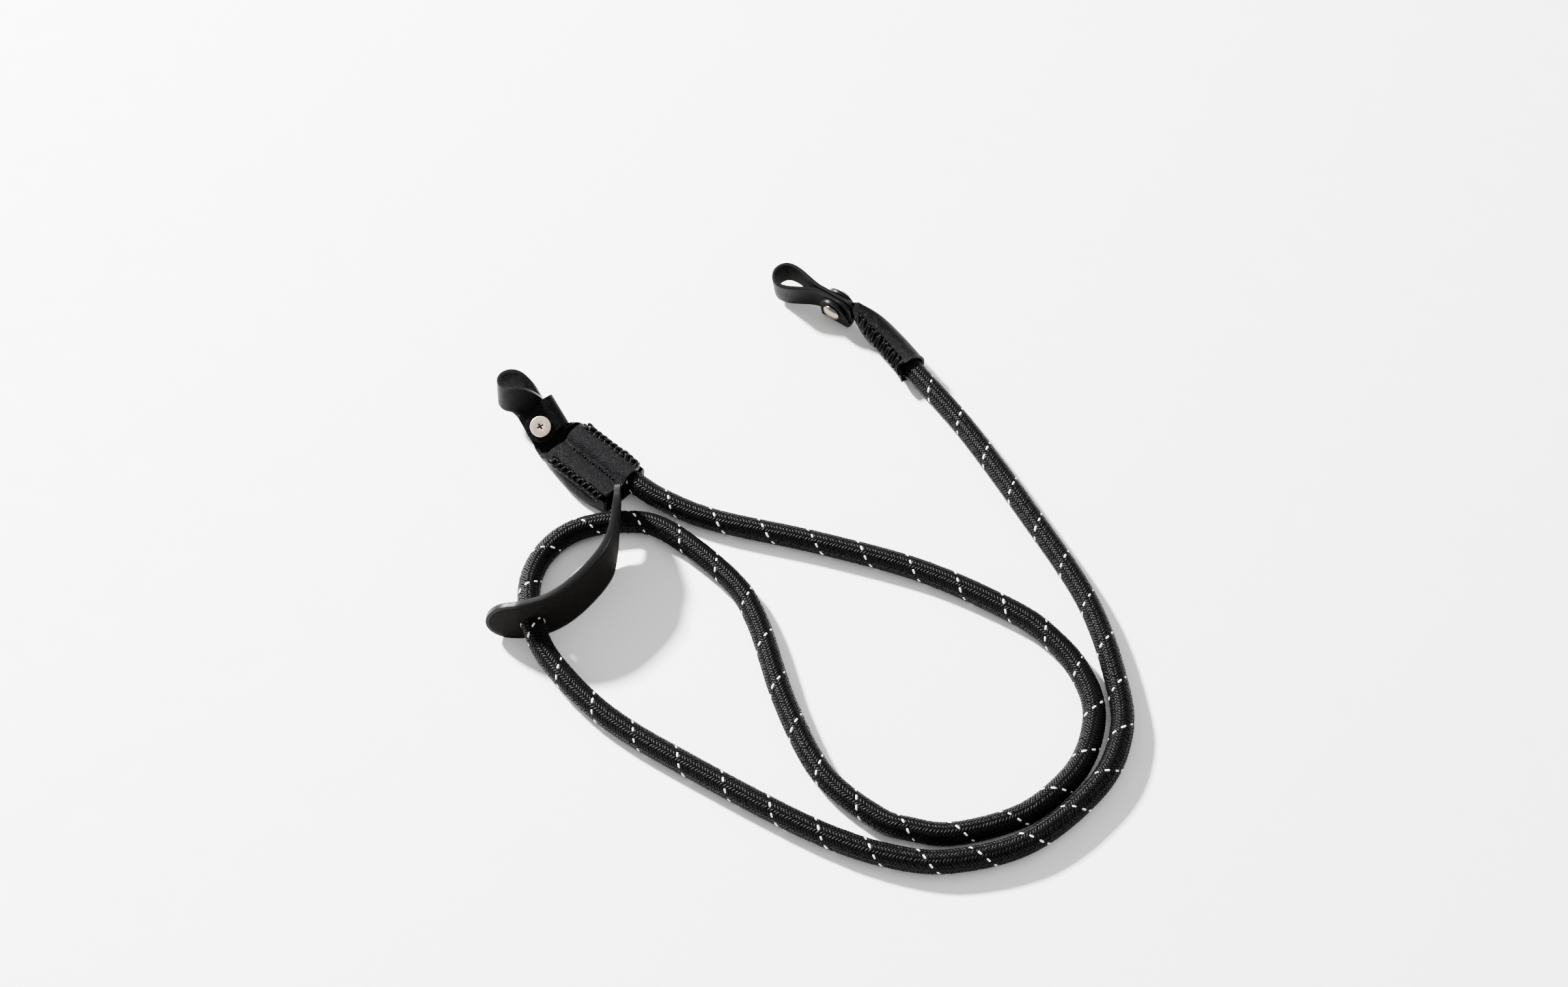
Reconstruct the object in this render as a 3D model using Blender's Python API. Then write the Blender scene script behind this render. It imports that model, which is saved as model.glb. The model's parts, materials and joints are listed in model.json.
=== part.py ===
"""Braided camera strap, lying on a table.

One braided rope joins two leather lug fittings. The first is a stitched pouch that holds the
rope's end beside the root of an adjuster tab, whose eyelet slides on the rope. The second is a
leather sleeve closed round the rope's other end. Each fitting carries a narrow lug strap, folded
into a loop for a split ring and clamped by a folded keeper and a two-part screw.

Sizes are in millimetres until a mesh is made. +Z is up and the table is z = 0.
"""
import math

import bmesh
import bpy
import numpy as np

MM = 0.001

# Rope
ROPE_DIAMETER = 8.5
ROPE_POINTS = 72
ROPE_SIDE_STEPS = 3

# Fits
CLEARANCE = 0.3
BORE_CLEARANCE = 0.45
EYELET_CLEARANCE = 0.45
HOLE_CLEARANCE = 0.3

# Lug straps and keepers
STRAP_WIDTH = 12.0
STRAP_THICKNESS = 1.6
KEEPER_WIDTH = 12.0
KEEPER_THICKNESS = 1.5

# Two-part screws
HEAD_DIAMETER = 8.0
HEAD_THICKNESS = 1.0
SHANK_DIAMETER = 2.4
BARREL_DIAMETER = 4.0
DOME_DIAMETER = 7.6
DOME_HEIGHT = 2.2
CROSS_WIDTH = 0.6
CROSS_SPAN = 3.4
CROSS_DEPTH = 0.5
EDGE_BREAK = 0.25
SHANK_REACH = 0.6
STRAP_START = -4.4

# Pouch: two layers of leather round two channels
BACK_THICKNESS = 1.6
FRONT_THICKNESS = 1.4
FRONT_LENGTH = 31.0
FRONT_OVERHANG = 2.9
TAB_CHANNEL = 8.6
LOBE_BULGE = 2.8
FRONT_EDGE_OVERHANG = 0.9
MOUTH_ROUNDING = 2.4
RIGHT_RIM_TURN = 22.0
ROPE_ACROSS = 1.4
ROPE_INSERT = 20.0

# Lug loops: from the screw to the ring end, half the opening, and how far the straps lie together
POUCH_LOOP_LENGTH = 23.5
POUCH_LOOP_RADIUS = 4.8
SLEEVE_LOOP_LENGTH = 28.0
SLEEVE_LOOP_RADIUS = 5.0
LOOP_STRAIGHT = 7.0
STRAP_TAIL = 7.0
KEEPER_SLANT = 20.0
STRAP_LEAN = 13.0

# Adjuster tab
TAB_THICKNESS = 2.0
TAB_WIDTH = 24.0
TAB_ROOT_HEIGHT = 6.2
TAB_REST = 0.3

# Sleeve
SLEEVE_WALL = 1.2
SLEEVE_ROPE_DEPTH = 18.0
SCREW_TO_SLEEVE = 9.0
TONGUE_WIDTH = 10.4
TONGUE_DEPTH = 5.0
NECK_MARGIN = 0.6

# Plan point of the layout that lies at the part's origin
PLAN_CENTRE = (-27.33, 19.75)

# Foot of the pouch's open end in plan, and the pouch's heading towards the rope
POUCH_FOOT = (-60.0, 3.0)
POUCH_HEADING = -43.5

# The rope's free route from the pouch to the sleeve, lying on the table where lift is 0
# columns: x, y, lift
ROPE_ROUTE = [
    (-45.1, -6.6, 1.0),
    (-25.8, -15.3, 0.0),
    (13.4, -26.3, 0.0),
    (51.2, -39.6, 0.0),
    (83.4, -57.9, 0.0),
    (97.0, -70.5, 0.0),
    (106.0, -85.0, 0.0),
    (109.4, -102.0, 0.0),
    (103.2, -122.0, 0.0),
    (89.0, -137.6, 0.0),
    (74.8, -145.4, 0.0),
    (56.0, -149.7, 0.0),
    (42.5, -147.6, 0.0),
    (31.1, -143.0, 0.0),
    (12.8, -125.8, 0.0),
    (-0.2, -96.5, 0.0),
    (-10.3, -60.7, 0.0),
    (-20.6, -41.9, 0.0),
    (-44.2, -19.7, 0.0),
    (-60.7, -15.6, 0.0),
    (-78.1, -19.4, 0.0),
    (-89.2, -29.8, 0.0),
    (-93.8, -45.0, 1.3),
    (-91.4, -63.8, 4.05),
    (-83.1, -80.2, 1.5),
    (-62.3, -102.2, 0.0),
    (-28.6, -125.1, 0.0),
    (9.0, -147.6, 0.0),
    (35.0, -158.0, 0.0),
    (57.0, -160.2, 0.0),
    (84.0, -152.4, 0.0),
    (107.8, -131.8, 0.0),
    (117.8, -112.2, 0.0),
    (118.7, -91.4, 0.0),
    (110.8, -54.2, 0.0),
    (90.4, -11.2, 0.0),
    (69.5, 27.7, 0.2),
]

# The sleeve's middle line in plan, from its mouth towards its neck
SLEEVE_ROUTE = [(50.3, 55.8), (44.6, 64.2), (37.6, 72.6)]

# The sleeve's screw in plan and the strap's heading towards its loop
SLEEVE_SCREW_PLACE = (21.8, 85.5)
SLEEVE_STRAP_HEADING = 143.2

# How the pouch's lug strap leaves the screw and turns on edge towards the ring
# columns: along, across, above, then the width direction's along, across and above parts
POUCH_SPINE = [
    (-40.0, -5.2, 8.3, 0.35, 0.89, 0.30),
    (-43.4, -4.6, 10.4, 0.35, 0.89, 0.30),
    (-46.7, -3.9, 12.4, 0.35, 0.89, 0.32),
    (-51.4, -3.5, 14.2, 0.20, 0.52, 0.83),
    (-56.6, -3.8, 14.9, 0.05, 0.12, 0.99),
    (-64.0, -4.2, 15.2, 0.00, 0.00, 1.00),
]

# The pouch's back layer between its tray and the lug strap
# columns: share of the tray's form, then along, across and above the table at each edge
WING = [
    (0.86, -26.0, -14.2, 5.2, -26.0, 7.0, 8.0),
    (0.50, -28.6, -14.3, 3.9, -28.6, 7.3, 7.7),
    (0.16, -31.2, -13.9, 3.0, -30.8, 6.9, 7.4),
    (0.00, -33.9, -12.9, 3.2, -32.5, 5.2, 8.0),
    (0.00, -36.6, -12.2, 3.6, -33.1, 2.3, 8.3),
]

# The tray's bulge along the pouch, from its open end
# columns: share of the front layer's length, share of the bulge
LOBES = [(0.00, 0.2), (0.12, 0.45), (0.26, 0.85), (0.42, 1.0), (0.58, 0.9), (0.72, 0.6), (0.84, 0.35)]

# The tray's left wall
# columns: outward share of the bulge, height as a share of the rope's height in the pouch
TRAY_WALL = [(0.05, 1.17), (0.45, 1.01), (0.95, 0.75), (1.00, 0.44), (0.55, 0.20)]

# The adjuster tab from the pouch to its eyelet end, standing on its lower edge
# columns: x, y, lift as a share of the rope's height, width as a share of the tab's width
TAB_ROUTE = [
    (-61.9, -8.6, 1.00, 0.39),
    (-61.8, -15.5, 1.06, 0.54),
    (-62.1, -22.0, 1.00, 0.64),
    (-62.7, -29.0, 0.42, 0.84),
    (-64.1, -36.0, 0.00, 1.00),
    (-67.0, -42.5, 0.00, 0.99),
    (-71.5, -49.0, 0.00, 0.98),
    (-76.2, -54.4, 0.00, 0.97),
    (-81.2, -58.7, 0.00, 0.95),
    (-87.4, -62.0, 0.00, 0.92),
    (-95.5, -63.7, 0.00, 0.88),
    (-98.4, -63.7, 0.00, 0.85),
]

# Sleeve sections from its mouth to its neck
# columns: share of the length, share of the way from round to flat
SLEEVE_FORM = [(0.0, 0.0), (0.12, 0.0), (0.26, 0.0), (0.40, 0.02), (0.55, 0.07), (0.68, 0.2),
               (0.79, 0.45), (0.88, 0.72), (0.95, 0.93), (1.0, 1.0)]

# Colour, roughness and metallic value of each finish
FINISHES = {
    "braid": ((0.012, 0.012, 0.013), 0.75, 0.0),
    "leather": ((0.014, 0.014, 0.015), 0.5, 0.0),
    "suede": ((0.017, 0.015, 0.014), 0.85, 0.0),
    "nickel": ((0.72, 0.68, 0.63), 0.3, 1.0),
}

ROPE_RADIUS = ROPE_DIAMETER / 2
POUCH_ROPE_HEIGHT = BACK_THICKNESS + CLEARANCE + ROPE_RADIUS
VALLEY_ACROSS = ROPE_ACROSS - ROPE_RADIUS - CLEARANCE - FRONT_THICKNESS
RIM_ACROSS = VALLEY_ACROSS - TAB_CHANNEL
SLEEVE_BORE = ROPE_RADIUS + BORE_CLEARANCE
SLEEVE_RADIUS = SLEEVE_BORE + SLEEVE_WALL
STRAP_HALF_GAP = (STRAP_THICKNESS + CLEARANCE) / 2
KEEPER_FOLD_RADIUS = STRAP_THICKNESS + CLEARANCE * 1.5 + KEEPER_THICKNESS / 2
KEEPER_REACH = STRAP_WIDTH / 2 + CLEARANCE
SCREW_SEAT = KEEPER_FOLD_RADIUS + KEEPER_THICKNESS / 2 + CLEARANCE
UP = np.array([0.0, 0.0, 1.0])


def clear_scene():
    for item in list(bpy.data.objects):
        bpy.data.objects.remove(item, do_unlink=True)


def finish(kind):
    """One Principled material for each finish."""
    material = bpy.data.materials.get(kind)
    if material is None:
        colour, roughness, metallic = FINISHES[kind]
        material = bpy.data.materials.new(kind)
        material.use_nodes = True
        shader = material.node_tree.nodes["Principled BSDF"]
        shader.inputs["Base Color"].default_value = (*colour, 1.0)
        shader.inputs["Roughness"].default_value = roughness
        shader.inputs["Metallic"].default_value = metallic
    return material


def to_frame(points):
    """Layout millimetres to metres in the part's frame."""
    return (np.asarray(points, float) - [*PLAN_CENTRE, 0.0]) * MM


def unit(rows):
    rows = np.asarray(rows, float)
    return rows / np.linalg.norm(rows, axis=-1, keepdims=True)


def smooth_curve(points, samples):
    """A Catmull-Rom curve through the points, read at equal steps of its length."""
    points = np.asarray(points, float)
    padded = np.vstack([2 * points[0] - points[1], points, 2 * points[-1] - points[-2]])
    t = np.linspace(0, 1, 24, endpoint=False)[:, None]
    spans = []
    for p0, p1, p2, p3 in zip(padded[:-3], padded[1:-2], padded[2:-1], padded[3:]):
        bend = (2 * p0 - 5 * p1 + 4 * p2 - p3) * t ** 2 + (3 * p1 - p0 - 3 * p2 + p3) * t ** 3
        spans.append(0.5 * (2 * p1 + (p2 - p0) * t + bend))
    fine = np.vstack(spans + [points[-1:]])
    run = run_lengths(fine[:, :3])
    at = np.linspace(0, run[-1], int(samples))
    return np.column_stack([np.interp(at, run, column) for column in fine.T])


def run_lengths(line):
    """The distance along a line at each of its points."""
    return np.r_[0, np.cumsum(np.linalg.norm(np.diff(line, axis=0), axis=1))]


def tangents(line):
    return unit(np.gradient(line, axis=0))


def add_solid(name, points, faces, kind):
    mesh = bpy.data.meshes.new(name)
    mesh.from_pydata([tuple(point) for point in to_frame(points)], [], faces)
    work = bmesh.new()
    work.from_mesh(mesh)
    bmesh.ops.remove_doubles(work, verts=work.verts, dist=1e-6)
    bmesh.ops.recalc_face_normals(work, faces=work.faces)
    work.to_mesh(mesh)
    work.free()
    mesh.materials.append(finish(kind))
    mesh.shade_smooth()
    mesh.set_sharp_from_angle(angle=math.radians(40))
    item = bpy.data.objects.new(name, mesh)
    bpy.context.scene.collection.objects.link(item)
    return item


def leather_sheet(name, middle, thickness, kind):
    """A sheet round a grid of middle points, half its thickness to each side."""
    middle = np.asarray(middle, float)
    normal = unit(np.cross(np.gradient(middle, axis=0), np.gradient(middle, axis=1)))
    rows, columns, _ = middle.shape
    count = rows * columns
    lift = normal * thickness / 2
    points = np.vstack([(middle + lift).reshape(-1, 3), (middle - lift).reshape(-1, 3)])
    index = np.arange(count).reshape(rows, columns)
    faces = []
    for r in range(rows - 1):
        for c in range(columns - 1):
            quad = [index[r, c], index[r, c + 1], index[r + 1, c + 1], index[r + 1, c]]
            faces.append([int(corner) for corner in quad])
            faces.append([int(corner) + count for corner in reversed(quad)])
    rim = [*index[0, :], *index[1:, -1], *index[-1, -2::-1], *index[-2:0:-1, 0]]
    for a, b in zip(rim, rim[1:] + rim[:1]):
        faces.append([int(b), int(a), int(a) + count, int(b) + count])
    return add_solid(name, points, faces, kind)


def ring_solid(name, rings, kind):
    """A closed body through rings of equal count, capped at both ends."""
    rings = np.asarray(rings, float)
    rows, columns, _ = rings.shape
    index = np.arange(rows * columns).reshape(rows, columns)
    faces = [[int(corner) for corner in index[0]], [int(corner) for corner in index[-1][::-1]]]
    for r in range(rows - 1):
        for c in range(columns):
            d = (c + 1) % columns
            faces.append([int(index[r, c]), int(index[r + 1, c]), int(index[r + 1, d]), int(index[r, d])])
    return add_solid(name, rings.reshape(-1, 3), faces, kind)


def cut(item, *cutters):
    """Takes each cutter out of a solid; the cutters stay as hidden guides."""
    for cutter in cutters:
        cutter.hide_render = True
        cutter.display_type = "WIRE"
        step = item.modifiers.new("Cut", "BOOLEAN")
        step.operation = "DIFFERENCE"
        step.solver = "EXACT"
        step.object = cutter


def cylinder(name, start, end, radius, sides=16):
    """A cylinder between two layout points."""
    axis = unit(end - start)
    side = unit(np.cross(axis, [0.3, 0.5, 0.81]))
    turn = np.linspace(0, 2 * math.pi, sides, endpoint=False)
    circle = radius * (np.outer(np.cos(turn), side) + np.outer(np.sin(turn), np.cross(axis, side)))
    return ring_solid(name, [start + circle, end + circle], "nickel")


def pouch_axes():
    turn = math.radians(POUCH_HEADING)
    along = np.array([math.cos(turn), math.sin(turn), 0.0])
    return np.array([along, np.cross(UP, along), UP])


def in_pouch(points):
    """Points given along, across and above the pouch, as layout points."""
    return np.asarray(points, float) @ pouch_axes() + [*POUCH_FOOT, 0.0]


# Rope

def rope_line():
    """The rope's centre line: held in the pouch, free on the table, held in the sleeve."""
    held = [(-ROPE_INSERT * share, ROPE_ACROSS, POUCH_ROPE_HEIGHT) for share in (1.0, 0.5, 0.0)]
    leaving = [(6.0, ROPE_ACROSS + 0.05, POUCH_ROPE_HEIGHT)]
    free = [(x, y, ROPE_RADIUS + lift) for x, y, lift in ROPE_ROUTE]
    sleeve = sleeve_line()
    depth = run_lengths(sleeve)
    inside = [[np.interp(SLEEVE_ROPE_DEPTH * share, depth, column) for column in sleeve.T]
              for share in (0.0, 0.33, 0.66, 1.0)]
    return smooth_curve(np.vstack([in_pouch(held + leaving), free, inside]), ROPE_POINTS)


def make_rope():
    curve = bpy.data.curves.new("rope", "CURVE")
    curve.dimensions = "3D"
    curve.bevel_depth = ROPE_RADIUS * MM
    curve.bevel_resolution = ROPE_SIDE_STEPS
    curve.use_fill_caps = True
    line = to_frame(rope_line())
    spline = curve.splines.new("POLY")
    spline.points.add(len(line) - 1)
    for point, place in zip(spline.points, line):
        point.co = (*place, 1.0)
    curve.materials.append(finish("braid"))
    bpy.context.scene.collection.objects.link(bpy.data.objects.new("rope", curve))


# Pouch

def rope_arc(wall, first, last, count):
    """Part of a circle round the rope in the pouch, at the middle of a wall."""
    radius = ROPE_RADIUS + CLEARANCE + wall / 2
    turn = np.radians(np.linspace(first, last, count))
    return np.column_stack([ROPE_ACROSS + radius * np.cos(turn), POUCH_ROPE_HEIGHT + radius * np.sin(turn)])


def tray_profile(bulge):
    """The back layer's middle line across the pouch, from its left rim to its right rim."""
    left = [(RIM_ACROSS - LOBE_BULGE * bulge * out, POUCH_ROPE_HEIGHT * high) for out, high in TRAY_WALL]
    floor = [(RIM_ACROSS + share * (ROPE_ACROSS - RIM_ACROSS), BACK_THICKNESS / 2)
             for share in (0.08, 0.24, 0.44, 0.62, 0.78)]
    return np.vstack([left, floor, rope_arc(BACK_THICKNESS, -90, RIGHT_RIM_TURN, 5)])


def front_profile():
    """The front layer's middle line: a hump over the tab, a stitched valley, a hump over the rope."""
    base = POUCH_ROPE_HEIGHT * TRAY_WALL[0][1] + CLEARANCE * 2 + FRONT_THICKNESS / 2
    top = BACK_THICKNESS + CLEARANCE * 3 + TAB_ROOT_HEIGHT + FRONT_THICKNESS / 2
    hump = [(RIM_ACROSS - FRONT_EDGE_OVERHANG, base),
            (RIM_ACROSS + 0.1 * TAB_CHANNEL, (base + top) / 2 + CLEARANCE),
            (RIM_ACROSS + 0.34 * TAB_CHANNEL, top + CLEARANCE),
            (RIM_ACROSS + 0.6 * TAB_CHANNEL, top),
            (RIM_ACROSS + 0.82 * TAB_CHANNEL, (base + top) / 2)]
    over = rope_arc(FRONT_THICKNESS, 150, RIGHT_RIM_TURN + 12, 6)
    edge = rope_arc(BACK_THICKNESS, RIGHT_RIM_TURN, RIGHT_RIM_TURN, 1)
    edge = edge + [0.4, CLEARANCE * 2 + FRONT_THICKNESS / 2]
    return np.vstack([hump, [(VALLEY_ACROSS - 0.1, base - 0.2)], over, edge])


def spine_frames(table, to_layout, axes, samples=60):
    """A strap's spine, with its width, face and running directions at close steps."""
    fine = smooth_curve(table, samples)
    line = to_layout(fine[:, :3])
    way = tangents(line)
    width = fine[:, 3:] @ axes
    width = unit(width - way * np.sum(width * way, axis=1, keepdims=True))
    return line, way, width, np.cross(width, way)


def along_spine(spine, run):
    """Point, way, width and face at each run; the spine goes on straight past its ends."""
    line, way = spine[0], spine[1]
    at = run_lengths(line)
    point = np.column_stack([np.interp(run, at, column) for column in line.T])
    point = point + np.minimum(run, 0)[:, None] * way[0] + np.maximum(run - at[-1], 0)[:, None] * way[-1]
    axes = [unit(np.column_stack([np.interp(run, at, column) for column in rows.T])) for rows in spine[1:]]
    return (point, *axes)


def loop_outline(length, radius, straight, lead, tail):
    """A folded strap as (run, offset): out on one side, round the ring end, back on the other."""
    run = np.linspace(0, 1, 11) * (length - radius - straight) + straight
    rise = np.linspace(0, 1, 11)
    offset = STRAP_HALF_GAP + (radius - STRAP_HALF_GAP) * rise ** 2 * (3 - 2 * rise)
    turn = np.radians(np.linspace(90, -90, 10))[1:-1]
    bend = np.column_stack([length - radius + radius * np.cos(turn), radius * np.sin(turn)])
    out = np.column_stack([run, offset])
    back = out[::-1] * [1, -1]
    before = [(share * lead, STRAP_HALF_GAP) for share in (1.0, 0.5, 0.0)]
    after = [(share * tail, -STRAP_HALF_GAP) for share in (0.0, 0.5, 1.0)]
    return np.vstack([before, out, bend, back, after])


def strap_rows(spine, outline, columns, widths=None):
    """Grid of a strap's middle points along an outline, from its left to its right edge."""
    point, _, width, face = along_spine(spine, outline[:, 0])
    across = np.linspace(-0.5, 0.5, columns)
    spread = np.full(len(outline), STRAP_WIDTH) if widths is None else widths
    middle = point + outline[:, 1:] * face
    return middle[:, None] + (spread[:, None] * across)[..., None] * width[:, None]


def pouch_spine():
    return spine_frames(POUCH_SPINE, in_pouch, pouch_axes())


def make_pouch_back():
    """Tray, wing, lug loop and returning tail, as one sheet of leather."""
    rows = []
    for share, bulge in LOBES:
        profile = tray_profile(bulge)
        along = np.full(len(profile), FRONT_OVERHANG - share * FRONT_LENGTH)
        rows.append(in_pouch(np.column_stack([along, profile])))
    profile = tray_profile(LOBES[-1][1] * 0.8)
    across = np.linspace(0, 1, len(profile))[:, None]
    for form, *edges in WING:
        left, right = np.array(edges[:3]), np.array(edges[3:])
        flat = left + (right - left) * across
        tray = np.column_stack([flat[:, 0], profile])
        rows.append(in_pouch(flat + form * (tray - flat)))
    outline = loop_outline(POUCH_LOOP_LENGTH, POUCH_LOOP_RADIUS, LOOP_STRAIGHT, STRAP_START, -STRAP_TAIL)
    rows.extend(strap_rows(pouch_spine(), outline, len(profile)))
    item = leather_sheet("pouch_back", rows, BACK_THICKNESS, "leather")
    cut(item, screw_hole("pouch_back_hole", pouch_screw_frame()))


def make_pouch_front():
    profile = front_profile()
    share = np.linspace(-1, 1, len(profile))
    rows = []
    for step in (0.0, 0.12, 0.3, 0.5, 0.7, 0.88, 1.0):
        round_off = MOUTH_ROUNDING * share ** 6 * max(0.0, 1 - step * 6)
        along = FRONT_OVERHANG - step * FRONT_LENGTH - round_off
        rows.append(in_pouch(np.column_stack([along, profile])))
    leather_sheet("pouch_front", rows, FRONT_THICKNESS, "leather")


# Adjuster tab

def tab_stations():
    """The tab's lower edge in the layout, with its height at each station."""
    across = VALLEY_ACROSS - TAB_CHANNEL * 0.36
    base = BACK_THICKNESS + CLEARANCE
    root = in_pouch([(-15.0, across - 0.6, base), (-7.0, across - 0.4, base), (1.0, across, base),
                     (FRONT_OVERHANG + 1.2, across - 0.5, base + 0.5)])
    root = np.column_stack([root, np.full(4, TAB_ROOT_HEIGHT)])
    over = ROPE_DIAMETER + CLEARANCE
    free = [(x, y, TAB_REST + lift * over, width * TAB_WIDTH) for x, y, lift, width in TAB_ROUTE]
    return smooth_curve(np.vstack([root, free]), 40)


def make_tab():
    """A strip standing on its edge, with a round end and an eyelet for the rope."""
    stations = tab_stations()
    foot, height = stations[:, :3], stations[:, 3]
    middle = foot + height[:, None] / 2 * UP
    half = height / 2
    end = half[-1]
    way = tangents(middle)[-1]
    turn = np.radians([20, 40, 58, 72, 84])
    middle = np.vstack([middle, middle[-1] + np.outer(np.sin(turn) * end, way)])
    half = np.r_[half, end * np.cos(turn)]
    share = np.linspace(-1, 1, 7)
    grid = middle[:, None] + (half[:, None] * share)[..., None] * UP
    item = leather_sheet("adjuster_tab", grid, TAB_THICKNESS, "suede")
    rope = rope_line()
    run = run_lengths(rope)
    fine = np.linspace(0, run[-1], 2000)
    rope = np.column_stack([np.interp(fine, run, column) for column in rope.T])
    free_end = middle[len(middle) // 2:, :2]
    apart = np.linalg.norm(rope[:, None, :2] - free_end, axis=2).min(axis=1)
    near = int(np.argmin(apart))
    axis = unit(rope[near + 4] - rope[near - 4])
    radius = ROPE_RADIUS + EYELET_CLEARANCE
    cut(item, cylinder("eyelet_hole", rope[near] - axis * 9, rope[near] + axis * 9, radius, 20))


# Sleeve

def sleeve_spine():
    """The sleeve's strap stands on its folded keeper and leans towards the pouch at its top."""
    heading, lean = math.radians(SLEEVE_STRAP_HEADING), math.radians(STRAP_LEAN)
    way = np.array([math.cos(heading), math.sin(heading), 0.0])
    side = np.cross(way, UP)
    width = -UP * math.cos(lean) + side * math.sin(lean)
    height = KEEPER_REACH * math.cos(lean) + KEEPER_FOLD_RADIUS + KEEPER_THICKNESS / 2
    screw = np.array([*SLEEVE_SCREW_PLACE, height])
    bend = np.cross(UP, way)
    table = [(*(screw + way * run + bend * drift), *width)
             for run, drift in ((0.0, 0.0), (8.0, 0.0), (16.0, 1.0), (24.0, 2.4), (32.0, 4.0))]
    return spine_frames(table, np.asarray, np.eye(3))


def sleeve_neck():
    """Middle of the strap's tongue where it enters the sleeve."""
    line, way, _, face = sleeve_spine()
    return line[0] - way[0] * SCREW_TO_SLEEVE + face[0] * STRAP_HALF_GAP


def sleeve_line():
    """The sleeve's middle line, rising from its mouth on the table to its neck."""
    neck = sleeve_neck()
    rise = neck[2] - SLEEVE_RADIUS
    way = sleeve_spine()[1][0]
    plan = [(x, y, SLEEVE_RADIUS + rise * share) for (x, y), share in zip(SLEEVE_ROUTE, (0.0, 0.16, 0.6))]
    return smooth_curve(np.vstack([plan, neck - way * TONGUE_DEPTH * 0.2, neck]), 40)


def sleeve_section(centre, way, flat):
    """A ring round the sleeve's middle line, from round to a flat slot form."""
    width_axis = sleeve_spine()[2][0]
    tall = unit(width_axis * flat - UP * (1 - flat))
    side = unit(np.cross(tall, way))
    thin = STRAP_THICKNESS / 2 + CLEARANCE + SLEEVE_WALL
    high = TONGUE_WIDTH / 2 + CLEARANCE + SLEEVE_WALL + NECK_MARGIN
    half_side = SLEEVE_RADIUS + (thin - SLEEVE_RADIUS) * flat
    half_tall = SLEEVE_RADIUS + (high - SLEEVE_RADIUS) * flat
    power = 2 / (2 + 1.6 * flat)
    turn = np.linspace(0, 2 * math.pi, 24, endpoint=False)
    c, s = np.cos(turn), np.sin(turn)
    x = half_side * np.sign(c) * np.abs(c) ** power
    y = half_tall * np.sign(s) * np.abs(s) ** power
    return centre + np.outer(x, side) + np.outer(y, tall)


def make_sleeve():
    """A leather tube round the rope's end that flattens to a neck round the strap's tongue."""
    line = sleeve_line()
    way = tangents(line)
    depth = run_lengths(line)
    rings = []
    for share, flat in SLEEVE_FORM:
        at = int(np.argmin(np.abs(depth - share * depth[-1])))
        rings.append(sleeve_section(line[at], way[at], flat))
    item = ring_solid("rope_sleeve", rings, "leather")
    stops = np.linspace(-2.0, SLEEVE_ROPE_DEPTH + 1.0, 7)
    bore = []
    for stop in stops:
        at = int(np.argmin(np.abs(depth - max(stop, 0.0))))
        centre = line[at] + way[at] * min(stop, 0.0)
        side = unit(np.cross(way[at], UP))
        turn = np.linspace(0, 2 * math.pi, 20, endpoint=False)
        circle = np.outer(np.cos(turn), side) + np.outer(np.sin(turn), np.cross(side, way[at]))
        bore.append(centre + circle * SLEEVE_BORE)
    cut(item, ring_solid("sleeve_bore", bore, "nickel"), tongue_slot())


def tongue_slot():
    line, ways, widths, faces = sleeve_spine()
    way, width, face = ways[0], widths[0], faces[0]
    half_face = face * (STRAP_THICKNESS / 2 + CLEARANCE)
    half_width = width * (TONGUE_WIDTH / 2 + CLEARANCE)
    corners = np.array([half_face + half_width, -half_face + half_width,
                        -half_face - half_width, half_face - half_width])
    neck = sleeve_neck()
    rings = [neck + corners + way * 2.0, neck + corners - way * (TONGUE_DEPTH + CLEARANCE)]
    return ring_solid("tongue_slot", rings, "nickel")


def make_sleeve_strap():
    """The second lug strap: its tongue goes into the sleeve and its other end stops at the neck."""
    start = -SCREW_TO_SLEEVE
    outline = loop_outline(SLEEVE_LOOP_LENGTH, SLEEVE_LOOP_RADIUS, LOOP_STRAIGHT,
                           start + 2.0, start + 1.2)
    tongue = np.array([(start - TONGUE_DEPTH, STRAP_HALF_GAP), (start + 0.5, STRAP_HALF_GAP)])
    outline = np.vstack([tongue, outline])
    widths = np.full(len(outline), STRAP_WIDTH)
    widths[:2] = TONGUE_WIDTH
    widths[-1] = STRAP_WIDTH * 0.7
    item = leather_sheet("sleeve_strap", strap_rows(sleeve_spine(), outline, 5, widths),
                         STRAP_THICKNESS, "leather")
    cut(item, screw_hole("sleeve_strap_hole", sleeve_screw_frame()))


# Keepers and screws

def pouch_screw_frame():
    return tuple(rows[0] for rows in pouch_spine())


def sleeve_screw_frame():
    return tuple(rows[0] for rows in sleeve_spine())


def screw_hole(name, frame):
    """Clears the barrel through every layer of the stack."""
    centre, face = frame[0], frame[3]
    reach = face * (SCREW_SEAT + KEEPER_THICKNESS)
    return cylinder(name, centre - reach, centre + reach, BARREL_DIAMETER / 2 + HOLE_CLEARANCE)


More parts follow.
